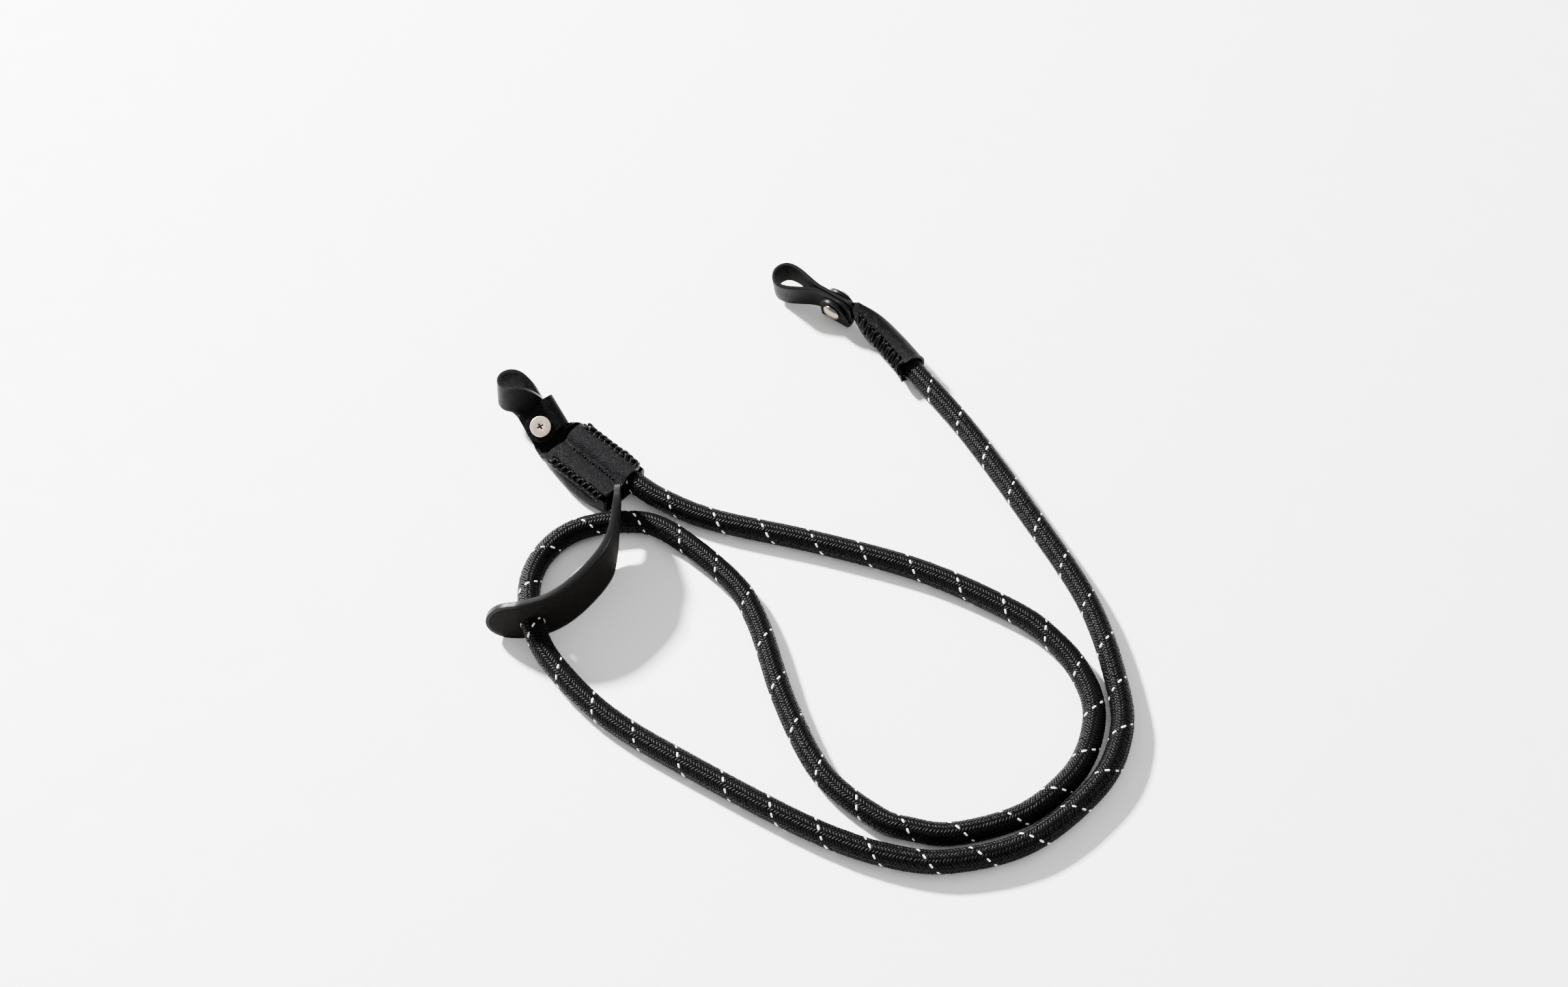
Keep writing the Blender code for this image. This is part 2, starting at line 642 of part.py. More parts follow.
def make_keeper(name, frame, slant):
    """A strip with round ends, folded round one edge of the strap and clamped by the screw."""
    centre, way, width, face = frame
    lean = math.radians(slant)
    half = KEEPER_WIDTH / 2
    leg = np.linspace(0, 1, 7)
    turn = np.radians(np.linspace(0, 180, 9))[1:-1]
    strands = []
    for share in (-0.995, -0.92, -0.7, -0.36, 0.0, 0.36, 0.7, 0.92, 0.995):
        q = share * half
        start = -math.sqrt(half ** 2 - q ** 2)
        stop = (KEEPER_REACH + q * math.sin(lean)) / math.cos(lean)
        run = start + leg * (stop - start)
        x = run * math.cos(lean) - q * math.sin(lean)
        t = run * math.sin(lean) + q * math.cos(lean)
        upper = np.column_stack([t, x, np.full(7, KEEPER_FOLD_RADIUS)])
        fold = np.column_stack([np.full(7, t[-1]), KEEPER_REACH + KEEPER_FOLD_RADIUS * np.sin(turn),
                                KEEPER_FOLD_RADIUS * np.cos(turn)])
        strands.append(np.vstack([upper, fold, (upper * [1, 1, -1])[::-1]]))
    grid = centre + np.array(strands) @ np.array([way, width, face])
    item = leather_sheet(name, grid, KEEPER_THICKNESS, "leather")
    cut(item, screw_hole(name + "_hole", frame))


def turned(name, frame, outline, side=1):
    """A solid of revolution about the screw's axis, through (radius, height) pairs."""
    centre, way, width, face = frame
    turn = np.linspace(0, 2 * math.pi, 20, endpoint=False)
    circle = np.outer(np.cos(turn), way) + np.outer(np.sin(turn), width)
    return ring_solid(name, [centre + circle * r + side * h * face for r, h in outline], "nickel")


def make_screw(name, frame):
    """Flat head with a cross recess, on a shank that runs down into the barrel."""
    centre, way, width, face = frame
    head, shank, top = HEAD_DIAMETER / 2, SHANK_DIAMETER / 2, SCREW_SEAT + HEAD_THICKNESS
    item = turned(name, frame, [(shank, -SCREW_SEAT * SHANK_REACH), (shank, SCREW_SEAT), (head, SCREW_SEAT),
                                (head, top - EDGE_BREAK), (head - EDGE_BREAK, top)])
    for number, (run, side) in enumerate(((way, width), (width, way))):
        reach, thin = run * CROSS_SPAN / 2, side * CROSS_WIDTH / 2
        corners = np.array([reach + thin, reach - thin, -reach - thin, -reach + thin])
        floor = centre + corners + face * (top - CROSS_DEPTH)
        cut(item, ring_solid(f"{name}_slot_{number}", [floor, floor + face * CROSS_DEPTH * 2], "nickel"))


def make_post(name, frame):
    """Domed head and hollow barrel that takes the shank."""
    centre, face = frame[0], frame[3]
    barrel, dome = BARREL_DIAMETER / 2, DOME_DIAMETER / 2
    rise = np.radians([25, 50, 70, 84])
    outline = [(barrel, CLEARANCE - SCREW_SEAT), (barrel, SCREW_SEAT), (dome, SCREW_SEAT)]
    outline += [(dome * math.cos(t), SCREW_SEAT + DOME_HEIGHT * math.sin(t)) for t in rise]
    item = turned(name, frame, outline, -1)
    bore = SHANK_DIAMETER / 2 + CLEARANCE
    depth = SCREW_SEAT * SHANK_REACH + CLEARANCE
    cut(item, cylinder(name + "_bore", centre - face * depth, centre + face * SCREW_SEAT, bore))


def build():
    clear_scene()
    make_rope()
    make_pouch_back()
    make_pouch_front()
    make_tab()
    make_sleeve()
    make_sleeve_strap()
    for name, frame, slant in (("pouch", pouch_screw_frame(), KEEPER_SLANT),
                               ("sleeve", sleeve_screw_frame(), 0.0)):
        make_keeper(name + "_keeper", frame, slant)
        make_screw(name + "_screw", frame)
        make_post(name + "_post", frame)


build()
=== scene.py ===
# %% [markdown]
# # A braided camera strap, in Blender and numpy
#
# The strap is one rope of braided yarn between two leather fittings. Each fitting ends in a lug
# strap, folded into a loop and clamped by a folded keeper and a two-part screw. Every visible form
# is a surface worked out from a few sizes in millimetres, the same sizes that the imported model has.

import json
import math

import bpy
import numpy as np
from mathutils import Matrix

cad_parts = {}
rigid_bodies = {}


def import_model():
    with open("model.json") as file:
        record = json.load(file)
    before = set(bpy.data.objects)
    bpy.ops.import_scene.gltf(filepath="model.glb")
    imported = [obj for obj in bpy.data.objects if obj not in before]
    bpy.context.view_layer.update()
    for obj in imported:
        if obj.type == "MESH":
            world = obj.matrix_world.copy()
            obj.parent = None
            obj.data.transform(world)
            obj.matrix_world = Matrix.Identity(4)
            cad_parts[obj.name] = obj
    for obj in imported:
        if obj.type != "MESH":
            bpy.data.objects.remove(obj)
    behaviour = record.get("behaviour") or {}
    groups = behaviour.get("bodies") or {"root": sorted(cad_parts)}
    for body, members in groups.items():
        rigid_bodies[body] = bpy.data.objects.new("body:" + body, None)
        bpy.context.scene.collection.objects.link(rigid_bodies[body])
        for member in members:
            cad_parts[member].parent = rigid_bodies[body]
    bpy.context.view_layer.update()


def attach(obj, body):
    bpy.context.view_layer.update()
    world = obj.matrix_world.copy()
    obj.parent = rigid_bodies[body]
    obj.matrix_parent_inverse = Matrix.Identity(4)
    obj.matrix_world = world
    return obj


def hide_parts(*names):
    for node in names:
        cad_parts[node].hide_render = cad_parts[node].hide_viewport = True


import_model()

# %% [markdown]
# ## The camera and the light
#
# The picture looks down on a white table from about 53 degrees. One strong lamp stands at the
# upper left and behind, so each piece throws a pale shadow to the lower right, and a bright
# surrounding fills the blacks. A lamp's size sets how soft a shadow's edge is: this one is 0.2 m
# wide at 2.2 m, which blurs the edge by about a tenth of the height that casts it. The camera and
# the rope's route come first, because everything else is judged through them.

# %% Camera and lamps
MM = 0.001
IMAGE_WIDTH = 2408
FOCAL_PIXELS = 4046.0
CAMERA_TILT = 53.46
CAMERA_ROLL = -0.55
CAMERA_DISTANCE = 999.3
LOOK_AT = (27.33, -19.75, 0.0)
# columns: name, azimuth and elevation in degrees, distance and size in metres, power in watts
LAMPS = [("key", 139.0, 34.8, 2.2, 0.2, 530.0), ("fill", 20.0, 60.0, 2.4, 2.0, 12.0)]
SKY_STRENGTH = 0.95
WHITE = (1.0, 1.0, 1.0, 1.0)


def add_camera():
    """A camera that looks down at LOOK_AT: distance times the direction back along the view."""
    data = bpy.data.cameras.new("camera")
    data.sensor_width = 36.0
    data.lens = FOCAL_PIXELS / IMAGE_WIDTH * data.sensor_width
    camera = bpy.data.objects.new("camera", data)
    bpy.context.scene.collection.objects.link(camera)
    tilt = math.radians(CAMERA_TILT)
    back = np.array([0.0, -math.cos(tilt), math.sin(tilt)])
    place = (np.array(LOOK_AT) + back * CAMERA_DISTANCE) * MM
    turn = Matrix.Rotation(math.pi / 2 - tilt, 4, "X") @ Matrix.Rotation(math.radians(CAMERA_ROLL), 4, "Z")
    camera.matrix_world = Matrix.Translation(place.tolist()) @ turn
    bpy.context.scene.camera = camera
    return camera


def add_lamp(name, azimuth, elevation, distance, size, power):
    """A square lamp on a sphere round the table's middle: (cos e cos a, cos e sin a, sin e) times
    the distance, for azimuth a and elevation e, turned to look at the middle."""
    data = bpy.data.lights.new(name, "AREA")
    data.size = size
    data.energy = power
    lamp = bpy.data.objects.new(name, data)
    bpy.context.scene.collection.objects.link(lamp)
    a, e = math.radians(azimuth), math.radians(elevation)
    place = np.array([math.cos(e) * math.cos(a), math.cos(e) * math.sin(a), math.sin(e)]) * distance
    turn = Matrix.Rotation(a + math.pi / 2, 4, "Z") @ Matrix.Rotation(math.pi / 2 - e, 4, "X")
    lamp.matrix_world = Matrix.Translation(place.tolist()) @ turn
    return lamp


camera = add_camera()
for lamp in LAMPS:
    add_lamp(*lamp)
world = bpy.data.worlds.new("studio")
world.use_nodes = True
sky = world.node_tree.nodes["Background"]
sky.inputs["Color"].default_value = WHITE
sky.inputs["Strength"].default_value = SKY_STRENGTH
bpy.context.scene.world = world
print("camera at", [round(part, 3) for part in camera.matrix_world.translation], "and", len(LAMPS), "lamps")

# %% [markdown]
# ## Finishes
#
# Each finish starts from what the real surface is. Colours are written as the sRGB values that a
# picture shows, and one function turns them to the linear values that the shader needs. One small
# function adds a node with its settings and its links, so each finish reads as a short recipe.
# Patterns are sized in millimetres: a noise with one feature in so many millimetres needs a scale
# of a thousand divided by that size, because the coordinates are in metres.

# %% Colour and node helpers
def linear(code, alpha=1.0):
    """sRGB hex to linear: the low part is divided by 12.92, the rest follows the 2.4 power."""
    part = np.array([int(code[i:i + 2], 16) for i in (1, 3, 5)]) / 255
    value = np.where(part <= 0.04045, part / 12.92, ((part + 0.055) / 1.055) ** 2.4)
    return (*value.tolist(), alpha)


def node(tree, kind, settings=None, **inputs):
    """Adds one node; an input is a value, or the output socket that feeds it."""
    made = tree.nodes.new(kind)
    for name, value in (settings or {}).items():
        setattr(made, name, value)
    for name, value in inputs.items():
        socket = made.inputs[int(name[1:])] if name[0] == "_" else made.inputs[name.replace("_", " ")]
        if isinstance(value, bpy.types.NodeSocket):
            tree.links.new(value, socket)
        else:
            socket.default_value = value
    return made


def new_finish(name, colour, roughness, metallic=0.0, shine=0.5):
    """A material with its Principled shader; returns the material, its tree and the shader."""
    material = bpy.data.materials.new(name)
    material.use_nodes = True
    tree = material.node_tree
    shader = tree.nodes["Principled BSDF"]
    shader.inputs["Base Color"].default_value = linear(colour)
    shader.inputs["Roughness"].default_value = roughness
    shader.inputs["Metallic"].default_value = metallic
    shader.inputs["Specular IOR Level"].default_value = shine
    return material, tree, shader


def per_mm(size):
    """A pattern scale for a repeat of so many millimetres: 1 / (size in metres)."""
    return 1 / (size * MM)


print("mid grey #808080 is", round(linear("#808080")[0], 3), "in linear light")

# %% [markdown]
# Leather is tanned hide. Its grain side has fine pebbles about half a millimetre wide, with creases
# between them, and takes a soft shine. A cell pattern gives the pebbles, bent by a noise so that
# they aren't all round, with a finer noise on top for the pores. The pouch is pebbled leather and
# the straps are smoother. Both are dyed through, so they are nearly black. Their specular level is
# far below the usual one half: the pits and creases swallow much of the light that a smooth
# surface sends back, and the pattern here is too shallow to do that by itself.

# %% Grain leather
def leather_finish(name, colour, light, roughness, pebble, depth, shine):
    """Height is the distance to the nearest cell's border, cut off at 0.22 of a cell, plus 0.45 of
    a fine noise. A broad noise mixes the two colours and shifts the roughness."""
    material, tree, shader = new_finish(name, colour, roughness, shine=shine)
    place = node(tree, "ShaderNodeTexCoord").outputs["Object"]
    warp = node(tree, "ShaderNodeTexNoise", Vector=place, Scale=per_mm(2.4), Detail=2.0)
    bent = node(tree, "ShaderNodeMix", {"data_type": "VECTOR"}, _0=0.0012, _4=place,
                _5=warp.outputs["Color"])
    cells = node(tree, "ShaderNodeTexVoronoi", {"feature": "DISTANCE_TO_EDGE"},
                 Vector=bent.outputs[1], Scale=per_mm(pebble))
    crease = node(tree, "ShaderNodeMapRange", Value=cells.outputs["Distance"], From_Max=0.22)
    fine = node(tree, "ShaderNodeTexNoise", Vector=place, Scale=per_mm(0.35), Detail=3.0)
    height = node(tree, "ShaderNodeMath", {"operation": "MULTIPLY_ADD"}, _0=fine.outputs["Fac"],
                  _1=0.45, _2=crease.outputs["Result"])
    bump = node(tree, "ShaderNodeBump", Height=height.outputs["Value"], Strength=0.75, Distance=depth * MM)
    tree.links.new(bump.outputs["Normal"], shader.inputs["Normal"])
    broad = node(tree, "ShaderNodeTexNoise", Vector=place, Scale=per_mm(6.0), Detail=3.0)
    tone = node(tree, "ShaderNodeMix", {"data_type": "RGBA"}, _0=broad.outputs["Fac"],
                _6=linear(colour), _7=linear(light))
    tree.links.new(tone.outputs[2], shader.inputs["Base Color"])
    rough = node(tree, "ShaderNodeMapRange", Value=broad.outputs["Fac"], From_Min=0.3, From_Max=0.7,
                 To_Min=roughness - 0.06, To_Max=roughness + 0.08)
    tree.links.new(rough.outputs["Result"], shader.inputs["Roughness"])
    return material


GRAIN = leather_finish("pebbled_grain_leather", "#030304", "#070708", 0.52, 0.6, 0.2, 0.045)
SMOOTH_GRAIN = leather_finish("smooth_strap_leather", "#040405", "#080809", 0.42, 0.5, 0.09, 0.03)
print("grain leathers", GRAIN.name, "and", SMOOTH_GRAIN.name)

# %% [markdown]
# The flesh side is the hide's inner side. It has a short nap, so it is dull and slightly mottled.
# The adjuster tab shows this side, with a crease pressed about 1.5 mm in from its rim and the
# border outside it rubbed smoother. The tab carries a UV map whose second value is the distance
# from the rim in millimetres, so the crease is simply where that value is 1.5. Pieces without the
# map read nought there and get no crease. Cut edges are waxed and rubbed until they shine.

# %% Flesh side and waxed edges
CREASE_INSET = 1.5
CREASE_HALF_WIDTH = 0.3


def suede_finish():
    """Nap from a fine noise and mottling from a broader one. The crease's height rises from nought
    where the inset is CREASE_INSET to one at CREASE_HALF_WIDTH to each side of it."""
    material, tree, shader = new_finish("flesh_side_suede", "#060505", 0.85, shine=0.03)
    shader.inputs["Sheen Weight"].default_value = 0.003
    shader.inputs["Sheen Roughness"].default_value = 0.6
    place = node(tree, "ShaderNodeTexCoord").outputs["Object"]
    nap = node(tree, "ShaderNodeTexNoise", Vector=place, Scale=per_mm(0.45), Detail=5.0, Roughness=0.7)
    bump = node(tree, "ShaderNodeBump", Height=nap.outputs["Fac"], Strength=0.8, Distance=0.12 * MM)
    tree.links.new(bump.outputs["Normal"], shader.inputs["Normal"])
    patch = node(tree, "ShaderNodeTexNoise", Vector=place, Scale=per_mm(2.0), Detail=7.0, Roughness=0.8)
    tone = node(tree, "ShaderNodeMix", {"data_type": "RGBA"}, _0=patch.outputs["Fac"],
                _6=linear("#000000"), _7=linear("#161311"))
    tree.links.new(tone.outputs[2], shader.inputs["Base Color"])
    inset = node(tree, "ShaderNodeSeparateXYZ",
                 Vector=node(tree, "ShaderNodeUVMap", {"uv_map": "millimetres"}).outputs["UV"]).outputs["Y"]
    off = node(tree, "ShaderNodeMath", {"operation": "SUBTRACT"}, _0=inset, _1=CREASE_INSET)
    away = node(tree, "ShaderNodeMath", {"operation": "ABSOLUTE"}, _0=off.outputs["Value"])
    groove = node(tree, "ShaderNodeMapRange", Value=away.outputs["Value"], From_Max=CREASE_HALF_WIDTH)
    crease = node(tree, "ShaderNodeBump", Height=groove.outputs["Result"], Strength=1.0, Distance=0.3 * MM,
                  Normal=bump.outputs["Normal"])
    tree.links.new(crease.outputs["Normal"], shader.inputs["Normal"])
    border = node(tree, "ShaderNodeMapRange", Value=inset, From_Min=0.05, From_Max=0.1)
    inner = node(tree, "ShaderNodeMapRange", Value=off.outputs["Value"], From_Min=-0.1, From_Max=0.1,
                 To_Min=1.0, To_Max=0.0)
    rubbed = node(tree, "ShaderNodeMath", {"operation": "MULTIPLY"}, _0=border.outputs["Result"],
                  _1=inner.outputs["Result"])
    rough = node(tree, "ShaderNodeMapRange", Value=rubbed.outputs["Value"], To_Min=0.85, To_Max=0.45)
    tree.links.new(rough.outputs["Result"], shader.inputs["Roughness"])
    return material


def waxed_edge_finish():
    """Fibres rubbed flat under wax: dark, smooth, with a low ripple of about a millimetre."""
    material, tree, shader = new_finish("waxed_leather_edge", "#080809", 0.34, shine=0.07)
    place = node(tree, "ShaderNodeTexCoord").outputs["Object"]
    ripple = node(tree, "ShaderNodeTexNoise", Vector=place, Scale=per_mm(1.1), Detail=3.0)
    bump = node(tree, "ShaderNodeBump", Height=ripple.outputs["Fac"], Strength=0.5, Distance=0.06 * MM)
    tree.links.new(bump.outputs["Normal"], shader.inputs["Normal"])
    return material


SUEDE = suede_finish()
EDGE = waxed_edge_finish()
print("crease at", CREASE_INSET, "mm from the rim on", SUEDE.name, "beside", EDGE.name)

# %% [markdown]
# The rope's yarn is filament polyester, so each bundle glints along its fibres. The real fibres
# are about 0.02 mm wide, too fine to show, so they are drawn about 0.16 mm wide. The pattern
# follows each yarn through its own UV map, whose unit is a millimetre: the noise is stretched
# along the yarn. The stitches are waxed thread, with the same pattern and less shine.

# %% Yarn and thread
def yarn_finish(name, colour, light, roughness, fibre=0.16, shine=0.12):
    """A noise on (0.35 of the length, the width) is drawn out into streaks along the yarn."""
    material, tree, shader = new_finish(name, colour, roughness, shine=shine)
    along = node(tree, "ShaderNodeUVMap", {"uv_map": "millimetres"}).outputs["UV"]
    stretch = node(tree, "ShaderNodeMapping", Vector=along, Scale=(0.35, 1.0, 1.0))
    fibres = node(tree, "ShaderNodeTexNoise", {"noise_dimensions": "2D"}, Vector=stretch.outputs["Vector"],
                  Scale=1.0 / fibre, Detail=1.5)
    bump = node(tree, "ShaderNodeBump", Height=fibres.outputs["Fac"], Strength=0.8, Distance=0.07 * MM)
    tree.links.new(bump.outputs["Normal"], shader.inputs["Normal"])
    tone = node(tree, "ShaderNodeMix", {"data_type": "RGBA"}, _0=fibres.outputs["Fac"],
                _6=linear(colour), _7=linear(light))
    tree.links.new(tone.outputs[2], shader.inputs["Base Color"])
    return material


YARN = yarn_finish("black_polyester_yarn", "#010101", "#060607", 0.42, shine=0.065)
TRACER = yarn_finish("white_tracer_yarn", "#dedcd6", "#fbfaf6", 0.5)
THREAD = yarn_finish("waxed_black_thread", "#010101", "#040404", 0.42, 0.2, 0.035)
print("yarns", YARN.name, TRACER.name, THREAD.name)

# %% [markdown]
# The screw's flat head is satin nickel: plated and then brushed with a fine grit, so it is pale
# and spreads its highlight. The post's dome is polished nickel and mirrors the room, so most of
# its tone comes from what stands round it. A metal's colour is its reflection, which is why the head
# is the plating's warm grey. The dome's grey holds painted shade: it is far darker than nickel, so
# that the bright table it mirrors looks shaded. The same one-noise recipe, with a coarser grit and
# no metal, gives the cross's recess a dark brown of painted shade, and serves the imported yarn of
# the rope's core; both hardly show.

# %% Metal, recess and core
def grit_finish(name, colour, light, roughness, grit, depth, metallic=0.0, shine=0.5):
    """One noise, with grains of grit millimetres, varies the tone, the shine and the height."""
    material, tree, shader = new_finish(name, colour, roughness, metallic, shine)
    place = node(tree, "ShaderNodeTexCoord").outputs["Object"]
    marks = node(tree, "ShaderNodeTexNoise", Vector=place, Scale=per_mm(grit), Detail=4.0)
    rough = node(tree, "ShaderNodeMapRange", Value=marks.outputs["Fac"], From_Min=0.3, From_Max=0.7,
                 To_Min=roughness * 0.8, To_Max=roughness * 1.25)
    tree.links.new(rough.outputs["Result"], shader.inputs["Roughness"])
    tone = node(tree, "ShaderNodeMix", {"data_type": "RGBA"}, _0=marks.outputs["Fac"],
                _6=linear(colour), _7=linear(light))
    tree.links.new(tone.outputs[2], shader.inputs["Base Color"])
    bump = node(tree, "ShaderNodeBump", Height=marks.outputs["Fac"], Strength=0.15, Distance=depth * MM)
    tree.links.new(bump.outputs["Normal"], shader.inputs["Normal"])
    return material


SATIN_NICKEL = grit_finish("satin_nickel_plate", "#d6c2ae", "#e2ceba", 0.42, 0.5, 0.01, 1.0)
# painted shade: the dome's nickel is darkened far below real nickel, so its mirror of the table is dim
NICKEL_WITH_PAINTED_SHADE = grit_finish("polished_nickel_with_painted_shade", "#686055", "#70685d", 0.2, 0.9, 0.01, 1.0)
# painted shade: dark brown for the cross's recess, where shade falls inside the plated head
PAINTED_SHADE_RECESS = grit_finish("recess_with_painted_shade", "#150f0c", "#231b18", 0.7, 0.4, 0.02)
CORE = grit_finish("packed_core_yarn", "#010101", "#030303", 0.9, 0.6, 0.2, shine=0.02)
print("finishes", len(bpy.data.materials))

# %% [markdown]
# ## Shaping helpers
#
# A smooth curve through a few chosen points is the same tool as a pattern cutter's spline. It works
# for a line and also for a whole table of sections, which it turns into a close grid. Measuring
# along a curve lets a piece be placed by real lengths, such as 18 mm of rope inside the sleeve.

# %% Curves and frames
UP = np.array([0.0, 0.0, 1.0])
PLAN_CENTRE = np.array([-27.33, 19.75, 0.0])


def unit(rows):
    """Each vector divided by its length."""
    return rows / np.linalg.norm(rows, axis=-1, keepdims=True)


def smooth(values, steps):
    """Catmull-Rom through the first axis: between b and c, with neighbours a and d, the curve is
    half of 2b + (c - a) t + (2a - 5b + 4c - d) t^2 + (3b - a - 3c + d) t^3."""
    p = np.asarray(values, float)
    p = np.concatenate([2 * p[:1] - p[1:2], p, 2 * p[-1:] - p[-2:-1]])
    t = (np.arange(steps) / steps).reshape((1, steps) + (1,) * (p.ndim - 1))
    a, b, c, d = (p[i:len(p) - 3 + i, None] for i in range(4))
    span = 0.5 * (2 * b + (c - a) * t + (2 * a - 5 * b + 4 * c - d) * t ** 2
                  + (3 * b - a - 3 * c + d) * t ** 3)
    return np.concatenate([span.reshape((-1,) + p.shape[1:]), p[-2:-1]])


def run_lengths(line):
    """The distance along a line at each of its points."""
    return np.r_[0, np.cumsum(np.linalg.norm(np.diff(line, axis=0), axis=1))]


def at_run(line, run, values=None):
    """Values along a line, read at distances along it in straight steps from point to point."""
    values = line if values is None else values
    along = run_lengths(line[:, :3])
    return np.stack([np.interp(run, along, column) for column in values.T], axis=-1)


def evenly(line, count):
    """The same line at equal steps of its length."""
    return at_run(line, np.linspace(0, run_lengths(line[:, :3])[-1], count))


def smooth_grid(grid, row_steps, column_steps):
    """Smooth through the rows and then through the columns."""
    return smooth(smooth(grid, row_steps).swapaxes(0, 1), column_steps).swapaxes(0, 1)


print("three sections become", len(smooth(np.eye(3), 8)), "with eight steps to a span")

# %% [markdown]
# A mesh is a list of points, a list of faces and the finish that each face takes. On a grid the
# faces are the quads between neighbours, so they come from shifted copies of the grid's own index
# array, with no loop. Their order decides which way they look, and they must look outwards.

# %% Meshes from arrays
def grid_faces(rows, columns, start=0, flip=False, wrap=False):
    """Quads (i, j), (i, j+1), (i+1, j+1), (i+1, j) of a grid; wrap closes each row into a ring."""
    index = np.arange(rows * columns).reshape(rows, columns) + start
    side = np.roll(index, -1, axis=1) if wrap else index[:, 1:]
    near = index if wrap else index[:, :-1]
    quads = np.stack([near[:-1], side[:-1], side[1:], near[1:]], axis=-1).reshape(-1, 4)
    return quads[:, ::-1] if flip else quads


def new_piece(name, points, quads, finishes, face_finish=None, uv=None, caps=()):
    """A mesh object that rides on the part. A point is its layout place less the plan's centre, in
    metres, so the object itself stays at the origin."""
    points = (np.asarray(points, float) - PLAN_CENTRE) * MM
    faces = [list(map(int, face)) for face in quads] + [list(map(int, cap)) for cap in caps]
    mesh = bpy.data.meshes.new(name)
    mesh.from_pydata(points.tolist(), [], faces)
    for material in finishes:
        mesh.materials.append(material)
    if face_finish is not None:
        mesh.polygons.foreach_set("material_index", np.asarray(face_finish, np.int32))
    if uv is not None:
        layer = mesh.uv_layers.new(name="millimetres")
        corner = np.empty(len(mesh.loops), np.int32)
        mesh.loops.foreach_get("vertex_index", corner)
        layer.data.foreach_set("uv", np.asarray(uv, float)[corner].ravel())
    mesh.polygons.foreach_set("use_smooth", np.ones(len(mesh.polygons), bool))
    mesh.update()
    piece = bpy.data.objects.new(name, mesh)
    bpy.context.scene.collection.objects.link(piece)
    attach(piece, "root")
    return piece


def soften(piece, width, segments=3, finish=-1):
    """Rounds the sharp edges, as rubbing or plating does; finish is the slot that the round takes."""
    step = piece.modifiers.new("rounded", "BEVEL")
    step.width = width * MM
    step.segments = segments
    step.limit_method = "ANGLE"
    step.angle_limit = math.radians(50)
    step.material = finish
    return piece


open_count, ring_count = len(grid_faces(3, 4)), len(grid_faces(3, 4, wrap=True))
print("a grid of 3 by 4 points has", open_count, "faces, and", ring_count, "with its rows closed into rings")

# %% [markdown]
# A leather layer is a sheet: a grid of points on its middle surface, pushed half its thickness to
# each side and closed round its rim. Blender's Solidify modifier would do nearly the same, but
# here each face is known to be upper, lower or rim, so each gets its own side of the leather. The
# Bevel modifier rounds the rim. A hole is cut with a Boolean modifier, applied at once.

# %% Sheets and cuts
def sheet_arrays(middle, thickness):
    """Points, quads and kinds of a closed sheet: middle plus and minus half the thickness along the
    normal, which is the cross product of the grid's two gradients, and a band round the rim. The
    kinds are 0 for the upper face, 1 for the lower one and 2 for the rim."""
    rows, columns, _ = middle.shape
    count = rows * columns
    normal = unit(np.cross(np.gradient(middle, axis=0), np.gradient(middle, axis=1)))
    lift = normal * np.broadcast_to(np.asarray(thickness, float), middle.shape[:2])[..., None] / 2
    points = np.concatenate([(middle + lift).reshape(-1, 3), (middle - lift).reshape(-1, 3)])
    top = grid_faces(rows, columns, flip=True)
    under = grid_faces(rows, columns, count)
    index = np.arange(count).reshape(rows, columns)
    rim = np.r_[index[0], index[1:, -1], index[-1, -2::-1], index[-2:0:-1, 0]]
    ahead = np.roll(rim, -1)
    band = np.stack([rim, ahead, ahead + count, rim + count], axis=-1)
    kinds = np.r_[np.zeros(len(top), int), np.ones(len(under), int), np.full(len(band), 2)]
    return points, np.concatenate([top, under, band]), kinds


def leather(name, middle, thickness, finishes, edge=0.35):
    """One sheet of leather: finishes are its upper face, its lower face and its waxed rim."""
    points, quads, kinds = sheet_arrays(np.asarray(middle, float), thickness)
    return soften(new_piece(name, points, quads, finishes, kinds), edge, finish=2)


def carve(piece, cutter):
    """Takes a cutter out of a piece and keeps the result as its mesh."""
    step = piece.modifiers.new("cut", "BOOLEAN")
    step.operation = "DIFFERENCE"
    step.solver = "EXACT"
    step.object = cutter
    piece.modifiers.move(len(piece.modifiers) - 1, 0)
    others = [m for m in piece.modifiers if m != step]
    for other in others:
        other.show_viewport = False
    bpy.context.view_layer.update()
    shown = piece.evaluated_get(bpy.context.evaluated_depsgraph_get())
    mesh = bpy.data.meshes.new_from_object(shown)
    piece.modifiers.remove(step)
    for other in others:
        other.show_viewport = True
    piece.data = mesh
    bpy.data.objects.remove(cutter, do_unlink=True)
    return piece


flat = np.stack(np.meshgrid(np.arange(3.0), np.arange(4.0), [0.0], indexing="ij"), axis=-1)[:, :, 0]
print("a flat grid of 3 by 4 points, as a closed sheet, has", len(sheet_arrays(flat, 1.6)[1]), "faces")

# %% [markdown]
# ## The rope
#
# A braided sheath is two sets of yarns that wind round the core in opposite directions, each
# passing over two and under two of the others. This one has thirty-two yarns. Where a yarn is on
# top it shows as a short domed float about 2 mm long and 1 mm wide. The floats are made as one
# array for each direction, carried along the route, over a dark core tube. One yarn is white and
# leaves the flecks.
#
# The route is a smooth curve through points on the table, in millimetres, traced from the
# picture's view. It starts inside the pouch and ends inside the sleeve, so the pouch's place and
# the rope's place in it come first.

# %% The pouch's place and the rope's points
ROPE_DIAMETER = 8.5
ROPE_RADIUS = ROPE_DIAMETER / 2
CLEARANCE = 0.3
BACK_THICKNESS = 1.6
FRONT_THICKNESS = 1.4
ROPE_ACROSS = 1.4
ROPE_INSERT = 20.0
POUCH_ROPE_HEIGHT = BACK_THICKNESS + CLEARANCE + ROPE_RADIUS
POUCH_FOOT = np.array([-60.0, 3.0, 0.0])
POUCH_HEADING = math.radians(-43.5)
ALONG = np.array([math.cos(POUCH_HEADING), math.sin(POUCH_HEADING), 0.0])
POUCH_AXES = np.array([ALONG, np.cross(UP, ALONG), UP])

